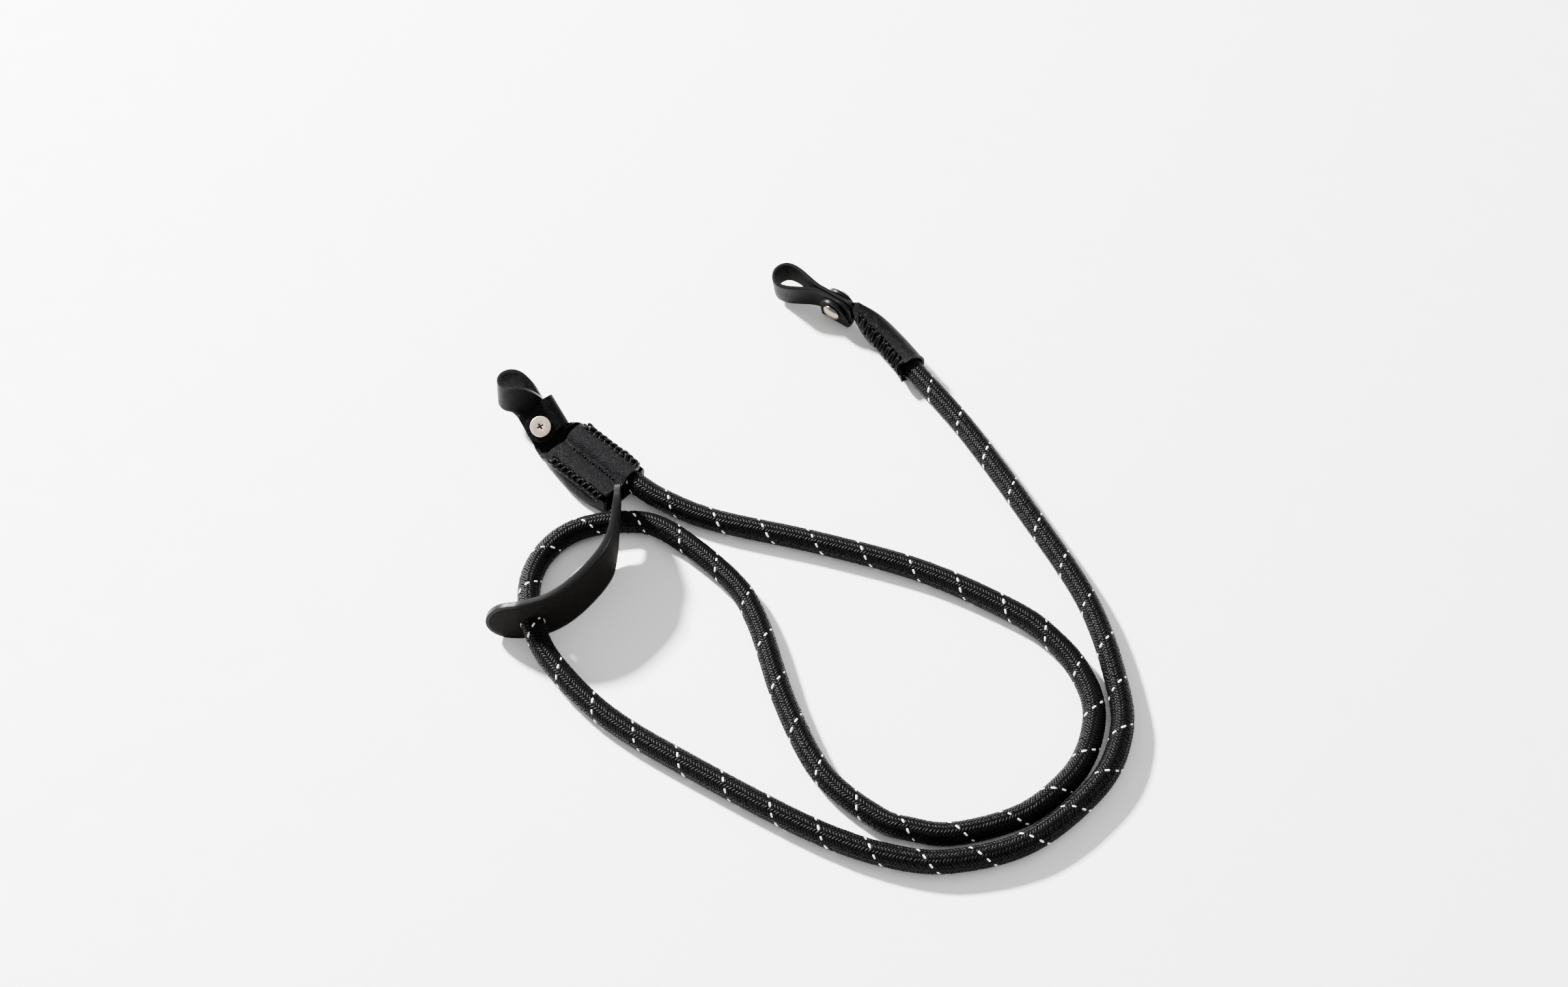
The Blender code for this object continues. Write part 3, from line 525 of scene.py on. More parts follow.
# columns: x, y, lift above the table
ROPE_ROUTE = [
    (-45.1, -6.6, 1.0), (-25.8, -15.3, 0.0), (13.4, -26.3, 0.0), (51.2, -39.6, 0.0),
    (83.4, -57.9, 0.0), (97.0, -70.5, 0.0), (106.0, -85.0, 0.0), (109.4, -102.0, 0.0),
    (103.2, -122.0, 0.0), (89.0, -137.6, 0.0), (74.8, -145.4, 0.0), (56.0, -149.7, 0.0),
    (42.5, -147.6, 0.0), (31.1, -143.0, 0.0), (12.8, -125.8, 0.0), (-0.2, -96.5, 0.0),
    (-10.3, -60.7, 0.0), (-20.6, -41.9, 0.0), (-44.2, -19.7, 0.0), (-60.7, -15.6, 0.0),
    (-78.1, -19.4, 0.0), (-89.2, -29.8, 0.0), (-93.8, -45.0, 1.3), (-91.4, -63.8, 4.05),
    (-83.1, -80.2, 1.5), (-62.3, -102.2, 0.0), (-28.6, -125.1, 0.0), (9.0, -147.6, 0.0),
    (35.0, -158.0, 0.0), (57.0, -160.2, 0.0), (84.0, -152.4, 0.0), (107.8, -131.8, 0.0),
    (117.8, -112.2, 0.0), (118.7, -91.4, 0.0), (110.8, -54.2, 0.0), (90.4, -11.2, 0.0),
    (69.5, 27.7, 0.2),
]


def in_pouch(points):
    """Points given along, across and above the pouch, as layout points: the foot plus each value
    times its axis."""
    return np.asarray(points, float) @ POUCH_AXES + POUCH_FOOT


print("route of", len(ROPE_ROUTE), "points; the rope's middle in the pouch is", POUCH_ROPE_HEIGHT, "mm up")

# %% [markdown]
# Each lug strap has a spine: a smooth line with a width direction at every point. The direction
# square to both is the strap's face, which the screw and the keeper sit on. The pouch's strap lies
# nearly flat under its screw and twists until it stands on edge at its loop's end. The sleeve's
# strap stands nearly on edge all along, leaning by 13 degrees, and drifts to the left on its way
# from the screw to its loop.

# %% Spines of the lug straps
STRAP_WIDTH = 12.0
STRAP_THICKNESS = 1.6
KEEPER_WIDTH = 12.0
KEEPER_THICKNESS = 1.5
STRAP_HALF_GAP = (STRAP_THICKNESS + CLEARANCE) / 2
KEEPER_FOLD_RADIUS = STRAP_THICKNESS + CLEARANCE * 1.5 + KEEPER_THICKNESS / 2
KEEPER_REACH = STRAP_WIDTH / 2 + CLEARANCE
SCREW_SEAT = KEEPER_FOLD_RADIUS + KEEPER_THICKNESS / 2
SLEEVE_HEADING = math.radians(143.2)
STRAP_LEAN = math.radians(13.0)


def strap_frames(table, to_layout, axes):
    """A strap's spine with its way, width and face directions at close steps: the width is made
    square to the way by taking away its share of it, and the face is width times way."""
    fine = evenly(smooth(table, 24), 160)
    line = to_layout(fine[:, :3])
    way = unit(np.gradient(line, axis=0))
    width = fine[:, 3:] @ axes
    width = unit(width - way * np.sum(width * way, axis=1, keepdims=True))
    return line, way, width, np.cross(width, way)


# columns: along, across, above, then the width direction's along, across and above parts
POUCH_SPINE = [
    (-40.0, -5.2, 8.3, 0.35, 0.89, 0.30), (-43.4, -4.6, 10.4, 0.35, 0.89, 0.30),
    (-46.7, -3.9, 12.4, 0.35, 0.89, 0.32), (-51.4, -3.5, 14.2, 0.20, 0.52, 0.83),
    (-56.6, -3.8, 14.9, 0.05, 0.12, 0.99), (-64.0, -4.2, 15.2, 0.00, 0.00, 1.00),
]
POUCH_FRAMES = strap_frames(POUCH_SPINE, in_pouch, POUCH_AXES)

SLEEVE_WAY = np.array([math.cos(SLEEVE_HEADING), math.sin(SLEEVE_HEADING), 0.0])
SLEEVE_WIDTH = -UP * math.cos(STRAP_LEAN) + np.cross(SLEEVE_WAY, UP) * math.sin(STRAP_LEAN)
SLEEVE_SCREW = np.array([21.8, 85.5, KEEPER_REACH * math.cos(STRAP_LEAN) + SCREW_SEAT])
# columns: run from the screw, drift to the left
SLEEVE_DRIFT = [(0.0, 0.0), (8.0, 0.0), (16.0, 1.0), (24.0, 2.4), (32.0, 4.0)]
SLEEVE_FRAMES = strap_frames(
    [(*(SLEEVE_SCREW + SLEEVE_WAY * run + np.cross(UP, SLEEVE_WAY) * drift), *SLEEVE_WIDTH)
     for run, drift in SLEEVE_DRIFT], np.asarray, np.eye(3))
for name, frames in (("pouch", POUCH_FRAMES), ("sleeve", SLEEVE_FRAMES)):
    print(name, "strap's spine is", round(float(run_lengths(frames[0])[-1]), 1), "mm long")

# %% [markdown]
# The sleeve rises from the table to the neck behind its screw, and the rope goes 18 mm into it.
# With that, the rope's whole line is known. It is read at 1300 even points, each with a direction
# to the side and one to the top, so that anything can be placed at a distance along the rope, an
# angle round it and a distance from its middle. The core is a plain tube made that way.

# %% The rope's line and its core
SLEEVE_WALL = 1.2
SLEEVE_BORE = ROPE_RADIUS + 0.45
SLEEVE_RADIUS = SLEEVE_BORE + SLEEVE_WALL
SLEEVE_ROPE_DEPTH = 18.0
SCREW_TO_SLEEVE = 9.0
TONGUE_WIDTH = 10.4
TONGUE_DEPTH = 5.0
CORE_RINGS, CORE_SIDES = 720, 20
CORE_INSET = 0.14

NECK = SLEEVE_FRAMES[0][0] - SLEEVE_FRAMES[1][0] * SCREW_TO_SLEEVE + SLEEVE_FRAMES[3][0] * STRAP_HALF_GAP
NECK_RISE = NECK[2] - SLEEVE_RADIUS
SLEEVE_LINE = evenly(smooth([
    (50.3, 55.8, SLEEVE_RADIUS), (44.6, 64.2, SLEEVE_RADIUS + NECK_RISE * 0.16),
    (37.6, 72.6, SLEEVE_RADIUS + NECK_RISE * 0.6),
    NECK - SLEEVE_FRAMES[1][0] * TONGUE_DEPTH * 0.2, NECK], 24), 80)

held = in_pouch([(-ROPE_INSERT * share, ROPE_ACROSS, POUCH_ROPE_HEIGHT) for share in (1.0, 0.5, 0.0)])
leaving = in_pouch([(6.0, ROPE_ACROSS + 0.05, POUCH_ROPE_HEIGHT)])
free = np.array(ROPE_ROUTE) + [0.0, 0.0, ROPE_RADIUS]
inside = at_run(SLEEVE_LINE, SLEEVE_ROPE_DEPTH * np.array([0.0, 0.33, 0.66, 1.0]))
ROPE_LINE = evenly(smooth(np.concatenate([held, leaving, free, inside]), 24), 1300)
ROPE_RUN = run_lengths(ROPE_LINE)
ROPE_LENGTH = ROPE_RUN[-1]
ROPE_WAY = unit(np.gradient(ROPE_LINE, axis=0))
ROPE_SIDE = unit(np.cross(UP, ROPE_WAY))
ROPE_TOP = np.cross(ROPE_WAY, ROPE_SIDE)


def on_rope(run, turn, radius):
    """A point at a distance along the rope, an angle t round it and a radius from its middle:
    centre + radius (cos t side + sin t top)."""
    centre, side, top = (
        np.stack([np.interp(run, ROPE_RUN, column) for column in rows.T], axis=-1)
        for rows in (ROPE_LINE, ROPE_SIDE, ROPE_TOP))
    radius = np.asarray(radius)[..., None]
    return centre + radius * (np.cos(turn)[..., None] * side + np.sin(turn)[..., None] * top)


run, turn = np.meshgrid(np.linspace(0, ROPE_LENGTH, CORE_RINGS),
                        np.linspace(0, 2 * math.pi, CORE_SIDES, endpoint=False), indexing="ij")
tube = on_rope(run, turn, np.full(run.shape, ROPE_RADIUS - CORE_INSET))
last = CORE_RINGS * CORE_SIDES
rope = new_piece("rope_core", tube.reshape(-1, 3), grid_faces(CORE_RINGS, CORE_SIDES, wrap=True), [CORE],
                 caps=[range(CORE_SIDES)[::-1], range(last - CORE_SIDES, last)])
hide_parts("rope")
print("rope length in mm", round(float(ROPE_LENGTH), 1))

# %% [markdown]
# Now the floats. Along the rope's axis the crossings come every thirty-second of the pitch, which
# is the 19 mm in which a yarn goes once round. A yarn goes over two crossings and under the next
# two, so its floats come every eighth of the pitch. A float is a small domed patch of 12 faces:
# round across, flat on top, and bent down at both ends to pass under the other set. A modelled
# yarn all along the rope would need far more faces, and only its floats would show.

# %% The braided sheath
PITCH = 19.0
YARNS_EACH_WAY = 16
FLOAT_LENGTH = 2.3
FLOAT_WIDTH = 1.02
FLOAT_ROOT = 0.4
FLOAT_RISE = 0.42
TRACER_YARN = 3
TRACER_SHARE = 0.9
HELIX = math.atan2(2 * math.pi * ROPE_RADIUS, PITCH)


def braid_floats(lay, yarns, length=FLOAT_LENGTH):
    """Domed patches, one to a float, for lay 1, the right-hand set, or -1, the left-hand one.

    Yarn k of 16 is at the angle 2 pi (k / 16 + lay run / PITCH) at each run, and has a float at
    every eighth of the pitch, shifted by its own crossing. Over a float, with u along it and v
    across it from -1 to 1, the height is sqrt(1 - 0.98 v^2) (1 - 0.5 |u|^3). A small seeded drift
    in place and height keeps the floats from being all alike."""
    count = int(ROPE_LENGTH / (PITCH / 8)) - 2
    step, yarn = np.meshgrid(np.arange(1, count), yarns, indexing="ij")
    shift = -2 * yarn + 0.5 if lay > 0 else 2 * yarn - 2.5
    run = (PITCH / 32) * (4 * step + shift)
    turn = 2 * math.pi * (yarn / YARNS_EACH_WAY + lay * run / PITCH)
    keep = (run > 2.0) & (run < ROPE_LENGTH - 2.0)
    run, turn = run[keep][:, None, None], turn[keep][:, None, None]
    chance = np.random.default_rng(7 + lay)
    run = run + chance.normal(0, 0.07, run.shape)
    turn = turn + chance.normal(0, 0.016, run.shape)
    lift = chance.normal(0, 0.035, run.shape).clip(-0.07, 0.07)
    u = np.array([-1.0, -0.62, 0.0, 0.62, 1.0])[:, None]
    v = np.array([-1.0, -0.5, 0.5, 1.0])[None, :]
    dome = np.sqrt(1 - 0.98 * v ** 2) * (1 - 0.5 * np.abs(u) ** 3)
    reach = u * length / 2 + 0 * v
    spread = v * FLOAT_WIDTH / 2 * (1 - 0.22 * u ** 4)
    along = reach * math.cos(HELIX) - spread * math.sin(HELIX)
    around = reach * math.sin(HELIX) + spread * math.cos(HELIX)
    points = on_rope(run + along, turn + lay * around / ROPE_RADIUS,
                     ROPE_RADIUS - FLOAT_ROOT + FLOAT_RISE * dome + lift)
    one = grid_faces(5, 4, flip=lay < 0)
    quads = (one[None] + 20 * np.arange(len(run))[:, None, None]).reshape(-1, 4)
    drift = chance.uniform(0, 40, run.shape)
    uv = np.stack(np.broadcast_arrays(reach + drift, spread + drift * 3), axis=-1)
    return points.reshape(-1, 3), quads, uv.reshape(-1, 2)


for name, lay, yarns, finish, length in (
        # columns: piece, lay, its yarns, their finish, a float's length
        ("sheath_right_lay", 1, [k for k in range(YARNS_EACH_WAY) if k != TRACER_YARN], YARN, FLOAT_LENGTH),
        ("sheath_left_lay", -1, range(YARNS_EACH_WAY), YARN, FLOAT_LENGTH),
        ("sheath_white_tracer", 1, [TRACER_YARN], TRACER, FLOAT_LENGTH * TRACER_SHARE)):
    points, quads, uv = braid_floats(lay, np.array(list(yarns)), length)
    new_piece(name, points, quads, [finish], uv=uv)
    print(name, len(quads) // 12, "floats", 2 * len(quads), "triangles")

# %% [markdown]
# The rope's far end goes into the sleeve.

# %% [markdown]
# ## The pouch
#
# The back layer starts as a tray under the rope and the tab, narrows to a wing, goes on as the lug
# strap, turns round the ring's seat and comes back under itself. It is one strip of leather, so it
# is one grid: a few profiles across, smoothed along. The front layer lies over both channels and
# dips to a stitched valley between them. The profiles are worked out from the rope's and the
# tab's sizes, so the leather keeps its small gap to both.

# %% Pouch profiles
TAB_CHANNEL = 8.6
LOBE_BULGE = 2.8
FRONT_LENGTH = 31.0
FRONT_OVERHANG = 2.9
FRONT_EDGE_OVERHANG = 0.9
MOUTH_ROUNDING = 2.4
RIGHT_RIM_TURN = 22.0
VALLEY_ACROSS = ROPE_ACROSS - ROPE_RADIUS - CLEARANCE - FRONT_THICKNESS
RIM_ACROSS = VALLEY_ACROSS - TAB_CHANNEL
TAB_ROOT_HEIGHT = 6.2

# columns: share of the tray's form, then along, across and above the table at each edge
WING = [
    (0.86, -26.0, -14.2, 5.2, -26.0, 7.0, 8.0), (0.50, -28.6, -14.3, 3.9, -28.6, 7.3, 7.7),
    (0.16, -31.2, -13.9, 3.0, -30.8, 6.9, 7.4), (0.00, -33.9, -12.9, 3.2, -32.5, 5.2, 8.0),
    (0.00, -36.6, -12.2, 3.6, -33.1, 2.3, 8.3),
]
# columns: share of the front layer's length, share of the bulge
LOBES = [(0.0, 0.2), (0.12, 0.45), (0.26, 0.85), (0.42, 1.0), (0.58, 0.9), (0.72, 0.6), (0.84, 0.35)]
# columns: outward share of the bulge, height as a share of the rope's height in the pouch
TRAY_WALL = [(0.05, 1.17), (0.45, 1.01), (0.95, 0.75), (1.00, 0.44), (0.55, 0.20)]


def rope_arc(wall, first, last, count):
    """Part of a circle round the rope in the pouch, at the middle of a wall, as (across, above)."""
    radius = ROPE_RADIUS + CLEARANCE + wall / 2
    turn = np.radians(np.linspace(first, last, count))
    return np.stack([ROPE_ACROSS + radius * np.cos(turn), POUCH_ROPE_HEIGHT + radius * np.sin(turn)], axis=1)


def tray_profile(bulge):
    """Left wall, floor and the curl round the rope's right side, as (across, above)."""
    left = [(RIM_ACROSS - LOBE_BULGE * bulge * out, POUCH_ROPE_HEIGHT * high) for out, high in TRAY_WALL]
    floor = [(RIM_ACROSS + share * (ROPE_ACROSS - RIM_ACROSS), BACK_THICKNESS / 2)
             for share in (0.08, 0.24, 0.44, 0.62, 0.78)]
    return np.concatenate([left, floor, rope_arc(BACK_THICKNESS, -90, RIGHT_RIM_TURN, 5)])


def front_profile():
    """A hump over the tab, a stitched valley and a hump over the rope."""
    base = POUCH_ROPE_HEIGHT * TRAY_WALL[0][1] + CLEARANCE * 2 + FRONT_THICKNESS / 2
    top = BACK_THICKNESS + CLEARANCE * 3 + TAB_ROOT_HEIGHT + FRONT_THICKNESS / 2
    hump = [(RIM_ACROSS - FRONT_EDGE_OVERHANG, base),
            (RIM_ACROSS + 0.1 * TAB_CHANNEL, (base + top) / 2 + CLEARANCE),
            (RIM_ACROSS + 0.34 * TAB_CHANNEL, top + CLEARANCE), (RIM_ACROSS + 0.6 * TAB_CHANNEL, top),
            (RIM_ACROSS + 0.82 * TAB_CHANNEL, (base + top) / 2)]
    over = rope_arc(FRONT_THICKNESS, 150, RIGHT_RIM_TURN + 12, 6)
    edge = rope_arc(BACK_THICKNESS, RIGHT_RIM_TURN, RIGHT_RIM_TURN, 1)
    edge = edge + [0.4, CLEARANCE * 2 + FRONT_THICKNESS / 2]
    return np.concatenate([hump, [(VALLEY_ACROSS - 0.1, base - 0.2)], over, edge])


for name, profile in (("tray", tray_profile(1.0)), ("front", front_profile())):
    print(name, "profile is", round(float(run_lengths(profile)[-1]), 1), "mm round")

# %% [markdown]
# A lug strap goes out from the screw, widens into the loop, turns round its end and comes back.
# Seen from the side, this is a line of (run along the spine, offset from it). The offset grows
# by 3r^2 - 2r^3, which starts and ends level, so the leather leaves the clamp and meets the round
# end without a kink. Spreading each point by the strap's width gives the strap's grid.

# %% Lug straps
def loop_outline(length, radius, straight, lead, tail):
    """A folded strap as (run, offset): out, widening as 3r^2 - 2r^3, round the end and back."""
    rise = np.linspace(0, 1, 11)
    run = rise * (length - radius - straight) + straight
    offset = STRAP_HALF_GAP + (radius - STRAP_HALF_GAP) * rise ** 2 * (3 - 2 * rise)
    turn = np.radians(np.linspace(90, -90, 10))[1:-1]
    bend = np.stack([length - radius + radius * np.cos(turn), radius * np.sin(turn)], axis=1)
    out = np.stack([run, offset], axis=1)
    before = [(share * lead, STRAP_HALF_GAP) for share in (1.0, 0.5, 0.0)]
    after = [(share * tail, -STRAP_HALF_GAP) for share in (0.0, 0.5, 1.0)]
    return np.concatenate([before, out, bend, out[::-1] * [1, -1], after])


def strap_grid(frames, outline, columns, widths=None):
    """Middle points of a strap: spine(run) + offset face + share width, with the share from minus
    half to half of the strap's width. Past either end the spine goes on straight."""
    line, way = frames[0], frames[1]
    along = run_lengths(line)
    run = outline[:, 0]
    point = at_run(line, run) + np.minimum(run, 0)[:, None] * way[0]
    point = point + np.maximum(run - along[-1], 0)[:, None] * way[-1]
    width, face = (unit(at_run(line, run, rows)) for rows in frames[2:])
    spread = np.full(len(outline), STRAP_WIDTH) if widths is None else np.asarray(widths)
    across = spread[:, None] * np.linspace(-0.5, 0.5, columns)
    return (point + outline[:, 1:] * face)[:, None] + across[..., None] * width[:, None]


LOOP_STRAIGHT = 7.0
POUCH_LOOP_LENGTH, POUCH_LOOP_RADIUS = 23.5, 4.8
POUCH_STRAP_START, POUCH_STRAP_END = -4.4, -7.0
POUCH_LOOP = loop_outline(POUCH_LOOP_LENGTH, POUCH_LOOP_RADIUS, LOOP_STRAIGHT, POUCH_STRAP_START,
                          POUCH_STRAP_END)
print("pouch strap, out and back, is", round(float(run_lengths(POUCH_LOOP)[-1]), 1), "mm long")

# %% [markdown]
# Both layers are grids of points on the leather's middle, a row for each station along the pouch,
# smoothed and then given their thickness. Between the tray and the strap the rows blend: a row is
# its two edges joined by a straight line, plus a share of the tray's form that fades to nothing.

# %% Pouch layers
def pouch_back_grid():
    """Tray profiles, then the wing that blends them to a flat strip, then the lug strap's loop."""
    rows = []
    for share, bulge in LOBES:
        profile = tray_profile(bulge)
        along = np.full(len(profile), FRONT_OVERHANG - share * FRONT_LENGTH)
        rows.append(in_pouch(np.column_stack([along, profile])))
    profile = tray_profile(LOBES[-1][1] * 0.8)
    across = np.linspace(0, 1, len(profile))[:, None]
    for form, *edges in WING:
        left, right = np.array(edges[:3]), np.array(edges[3:])
        flat = left + (right - left) * across
        rows.append(in_pouch(flat + form * (np.column_stack([flat[:, 0], profile]) - flat)))
    return np.concatenate([rows, strap_grid(POUCH_FRAMES, POUCH_LOOP, len(profile))])


def pouch_front_grid():
    """The front profile at stations along the pouch, with the mouth's corners rounded back."""
    profile = front_profile()
    share = np.linspace(-1, 1, len(profile))
    rows = []
    for step in (0.0, 0.12, 0.3, 0.5, 0.7, 0.88, 1.0):
        round_off = MOUTH_ROUNDING * share ** 6 * max(0.0, 1 - step * 6)
        along = FRONT_OVERHANG - step * FRONT_LENGTH - round_off
        rows.append(in_pouch(np.column_stack([along, profile])))
    return np.array(rows)


back_grid = smooth_grid(pouch_back_grid(), 4, 3)
front_grid = smooth_grid(pouch_front_grid(), 8, 4)
pouch_back = leather("pouch_back_layer", back_grid, BACK_THICKNESS, [GRAIN, SMOOTH_GRAIN, EDGE])
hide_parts("pouch_back")
pouch_front = leather("pouch_front_layer", front_grid, FRONT_THICKNESS, [SUEDE, GRAIN, EDGE])
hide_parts("pouch_front")
print("pouch layers", back_grid.shape[:2], front_grid.shape[:2])

# %% [markdown]
# ## The adjuster tab
#
# The tab is a wide strip that stands on its long edge and curves away from the pouch, narrower
# where it comes out of its channel. Its free end is round and has a hole that grips the rope, so
# sliding the tab along changes the strap's length. The side towards the viewer is the flesh side;
# the other is the grain side. Its grid has a row of points, from the lower edge to the upper one,
# for each station along it. The round end follows a half circle: at an angle t past the last
# station, the strip is cos t as wide and sin t further on.

# %% The tab's grid
# columns: x, y, lift as a share of the rope's height, width as a share of the tab's width
TAB_ROUTE = [
    (-61.9, -8.6, 1.00, 0.39), (-61.8, -15.5, 1.06, 0.54), (-62.1, -22.0, 1.00, 0.64),
    (-62.7, -29.0, 0.42, 0.84), (-64.1, -36.0, 0.00, 1.00), (-67.0, -42.5, 0.00, 0.99),
    (-71.5, -49.0, 0.00, 0.98), (-76.2, -54.4, 0.00, 0.97), (-81.2, -58.7, 0.00, 0.95),
    (-87.4, -62.0, 0.00, 0.92), (-95.5, -63.7, 0.00, 0.88), (-98.4, -63.7, 0.00, 0.85),
]
TAB_WIDTH = 24.0
TAB_THICKNESS = 2.0
TAB_REST = 0.3
TAB_COLUMNS = 19


def tab_grid():
    """The tab's middle points, and how far each is from the rim in millimetres: half the width less
    the distance from the middle line or, past the last station, from that station's middle."""
    across = VALLEY_ACROSS - TAB_CHANNEL * 0.36
    base = BACK_THICKNESS + CLEARANCE
    root = in_pouch([(-15.0, across - 0.6, base), (-7.0, across - 0.4, base), (1.0, across, base),
                     (FRONT_OVERHANG + 1.2, across - 0.5, base + 0.5)])
    root = np.column_stack([root, np.full(4, TAB_ROOT_HEIGHT)])
    over = ROPE_DIAMETER + CLEARANCE
    open_part = [(x, y, TAB_REST + lift * over, width * TAB_WIDTH) for x, y, lift, width in TAB_ROUTE]
    stations = evenly(smooth(np.concatenate([root, open_part]), 24), 120)
    half = stations[:, 3] / 2
    middle = stations[:, :3] + half[:, None] * UP
    way = unit(np.gradient(middle, axis=0))[-1]
    turn = np.radians([8, 16, 24, 32, 40, 48, 56, 63, 70, 76, 81, 85, 88])
    middle = np.concatenate([middle, middle[-1] + np.outer(np.sin(turn) * half[-1], way)])
    past = np.r_[np.zeros(len(half)), np.sin(turn) * half[-1]]
    full = np.r_[half, np.full(len(turn), half[-1])]
    half = np.r_[half, half[-1] * np.cos(turn)]
    rise = half[:, None] * np.linspace(-1, 1, TAB_COLUMNS)
    return middle[:, None] + rise[..., None] * UP, full[:, None] - np.hypot(past[:, None], rise)


tab, inset = tab_grid()
print("tab grid", tab.shape[:2], "and its points are up to", round(float(inset.max()), 1), "mm from the rim")

# %% [markdown]
# The hole is a tube along the rope's own direction where it passes the tab, so the rope goes
# through it squarely. The nearest point of the rope to the tab's free half gives the place. The
# tube is cut out of the strip, and the Bevel modifier then rounds the hole's edge as the rim's.

# %% Adjuster tab
EYELET_RADIUS = ROPE_RADIUS + 0.35
HOLE_REACH = 9.0
HOLE_RINGS, HOLE_SIDES = 4, 48


def tube_points(line, radius, sides):
    """Rings round a line, set square to it: the line's point plus radius (cos t side + sin t top)."""
    way = unit(np.gradient(line, axis=0))
    side = unit(np.cross(way, UP))
    turn = np.linspace(0, 2 * math.pi, sides, endpoint=False)[None, :, None]
    ring = np.cos(turn) * side[:, None] + np.sin(turn) * np.cross(way, side)[:, None]
    return line[:, None] + np.asarray(radius, float).reshape(-1, 1, 1) * ring


free_half = tab[tab.shape[0] // 2:, tab.shape[1] // 2, :2]
near = int(np.argmin(np.linalg.norm(ROPE_LINE[:, None, :2] - free_half, axis=2).min(axis=1)))
hole_line = ROPE_LINE[near] + np.linspace(-HOLE_REACH, HOLE_REACH, HOLE_RINGS)[:, None] * ROPE_WAY[near]
hole = tube_points(hole_line, [EYELET_RADIUS] * HOLE_RINGS, HOLE_SIDES)
last = HOLE_RINGS * HOLE_SIDES
cutter = new_piece("tab_hole", hole.reshape(-1, 3), grid_faces(HOLE_RINGS, HOLE_SIDES, wrap=True),
                   [SMOOTH_GRAIN, SUEDE, EDGE], np.full(last - HOLE_SIDES + 2, 2),
                   caps=[range(HOLE_SIDES)[::-1], range(last - HOLE_SIDES, last)])
points, quads, kinds = sheet_arrays(tab, TAB_THICKNESS)
border = np.stack([0 * inset, inset], axis=-1).reshape(-1, 2)
adjuster = new_piece("adjuster_tab_strip", points, quads, [SMOOTH_GRAIN, SUEDE, EDGE], kinds,
                     uv=np.concatenate([border, border]))
adjuster = soften(carve(adjuster, cutter), 0.5, finish=2)
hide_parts("adjuster_tab")
print("tab hole", round(2 * EYELET_RADIUS, 1), "mm round the rope at run", round(float(ROPE_RUN[near])))

# %% [markdown]
# ## The sleeve and its lug strap
#
# The sleeve is a strip wrapped round the rope's end and sewn down one side. It starts round at
# the mouth and flattens to a neck round the strap's tongue. Its sections are super-ellipses: the
# power goes from 1, which is a circle, towards one half, which is a rounded bar. The seam is a
# raised ridge with a groove in it, where the two edges butt. At the mouth the seam isn't sewn, so
# it draws back to a notch and one lip of the leather reaches forward over the rope.

# %% The sleeve's form
# columns: share of the length, share of the way from round to flat
SLEEVE_FORM = [(0.0, 0.0), (0.12, 0.0), (0.26, 0.0), (0.40, 0.02), (0.55, 0.07), (0.68, 0.2),
               (0.79, 0.45), (0.88, 0.72), (0.95, 0.93), (1.0, 1.0)]
SLEEVE_SIDES = 120
SEAM_TURN = math.radians(213)
NECK_MARGIN = 0.6
MOUTH_SHARE = 0.2
MOUTH_FLARE, LIP_FLARE = 0.35, 0.7
TABLE_GAP = 0.05
# each bell round the sleeve: its height or reach in mm, its place and its half width in radians
RIDGE = (0.5, 0.0, 0.34)
GROOVE = (0.7, 0.0, 0.1)
LIP = (3.0, -0.62, 0.4)
NOTCH = (1.8, 0.05, 0.3)


def bell(off, shape):
    """A Gauss bell of height one: exp(-((off - place) / half width)^2)."""
    return np.exp(-((off - shape[1]) / shape[2]) ** 2)


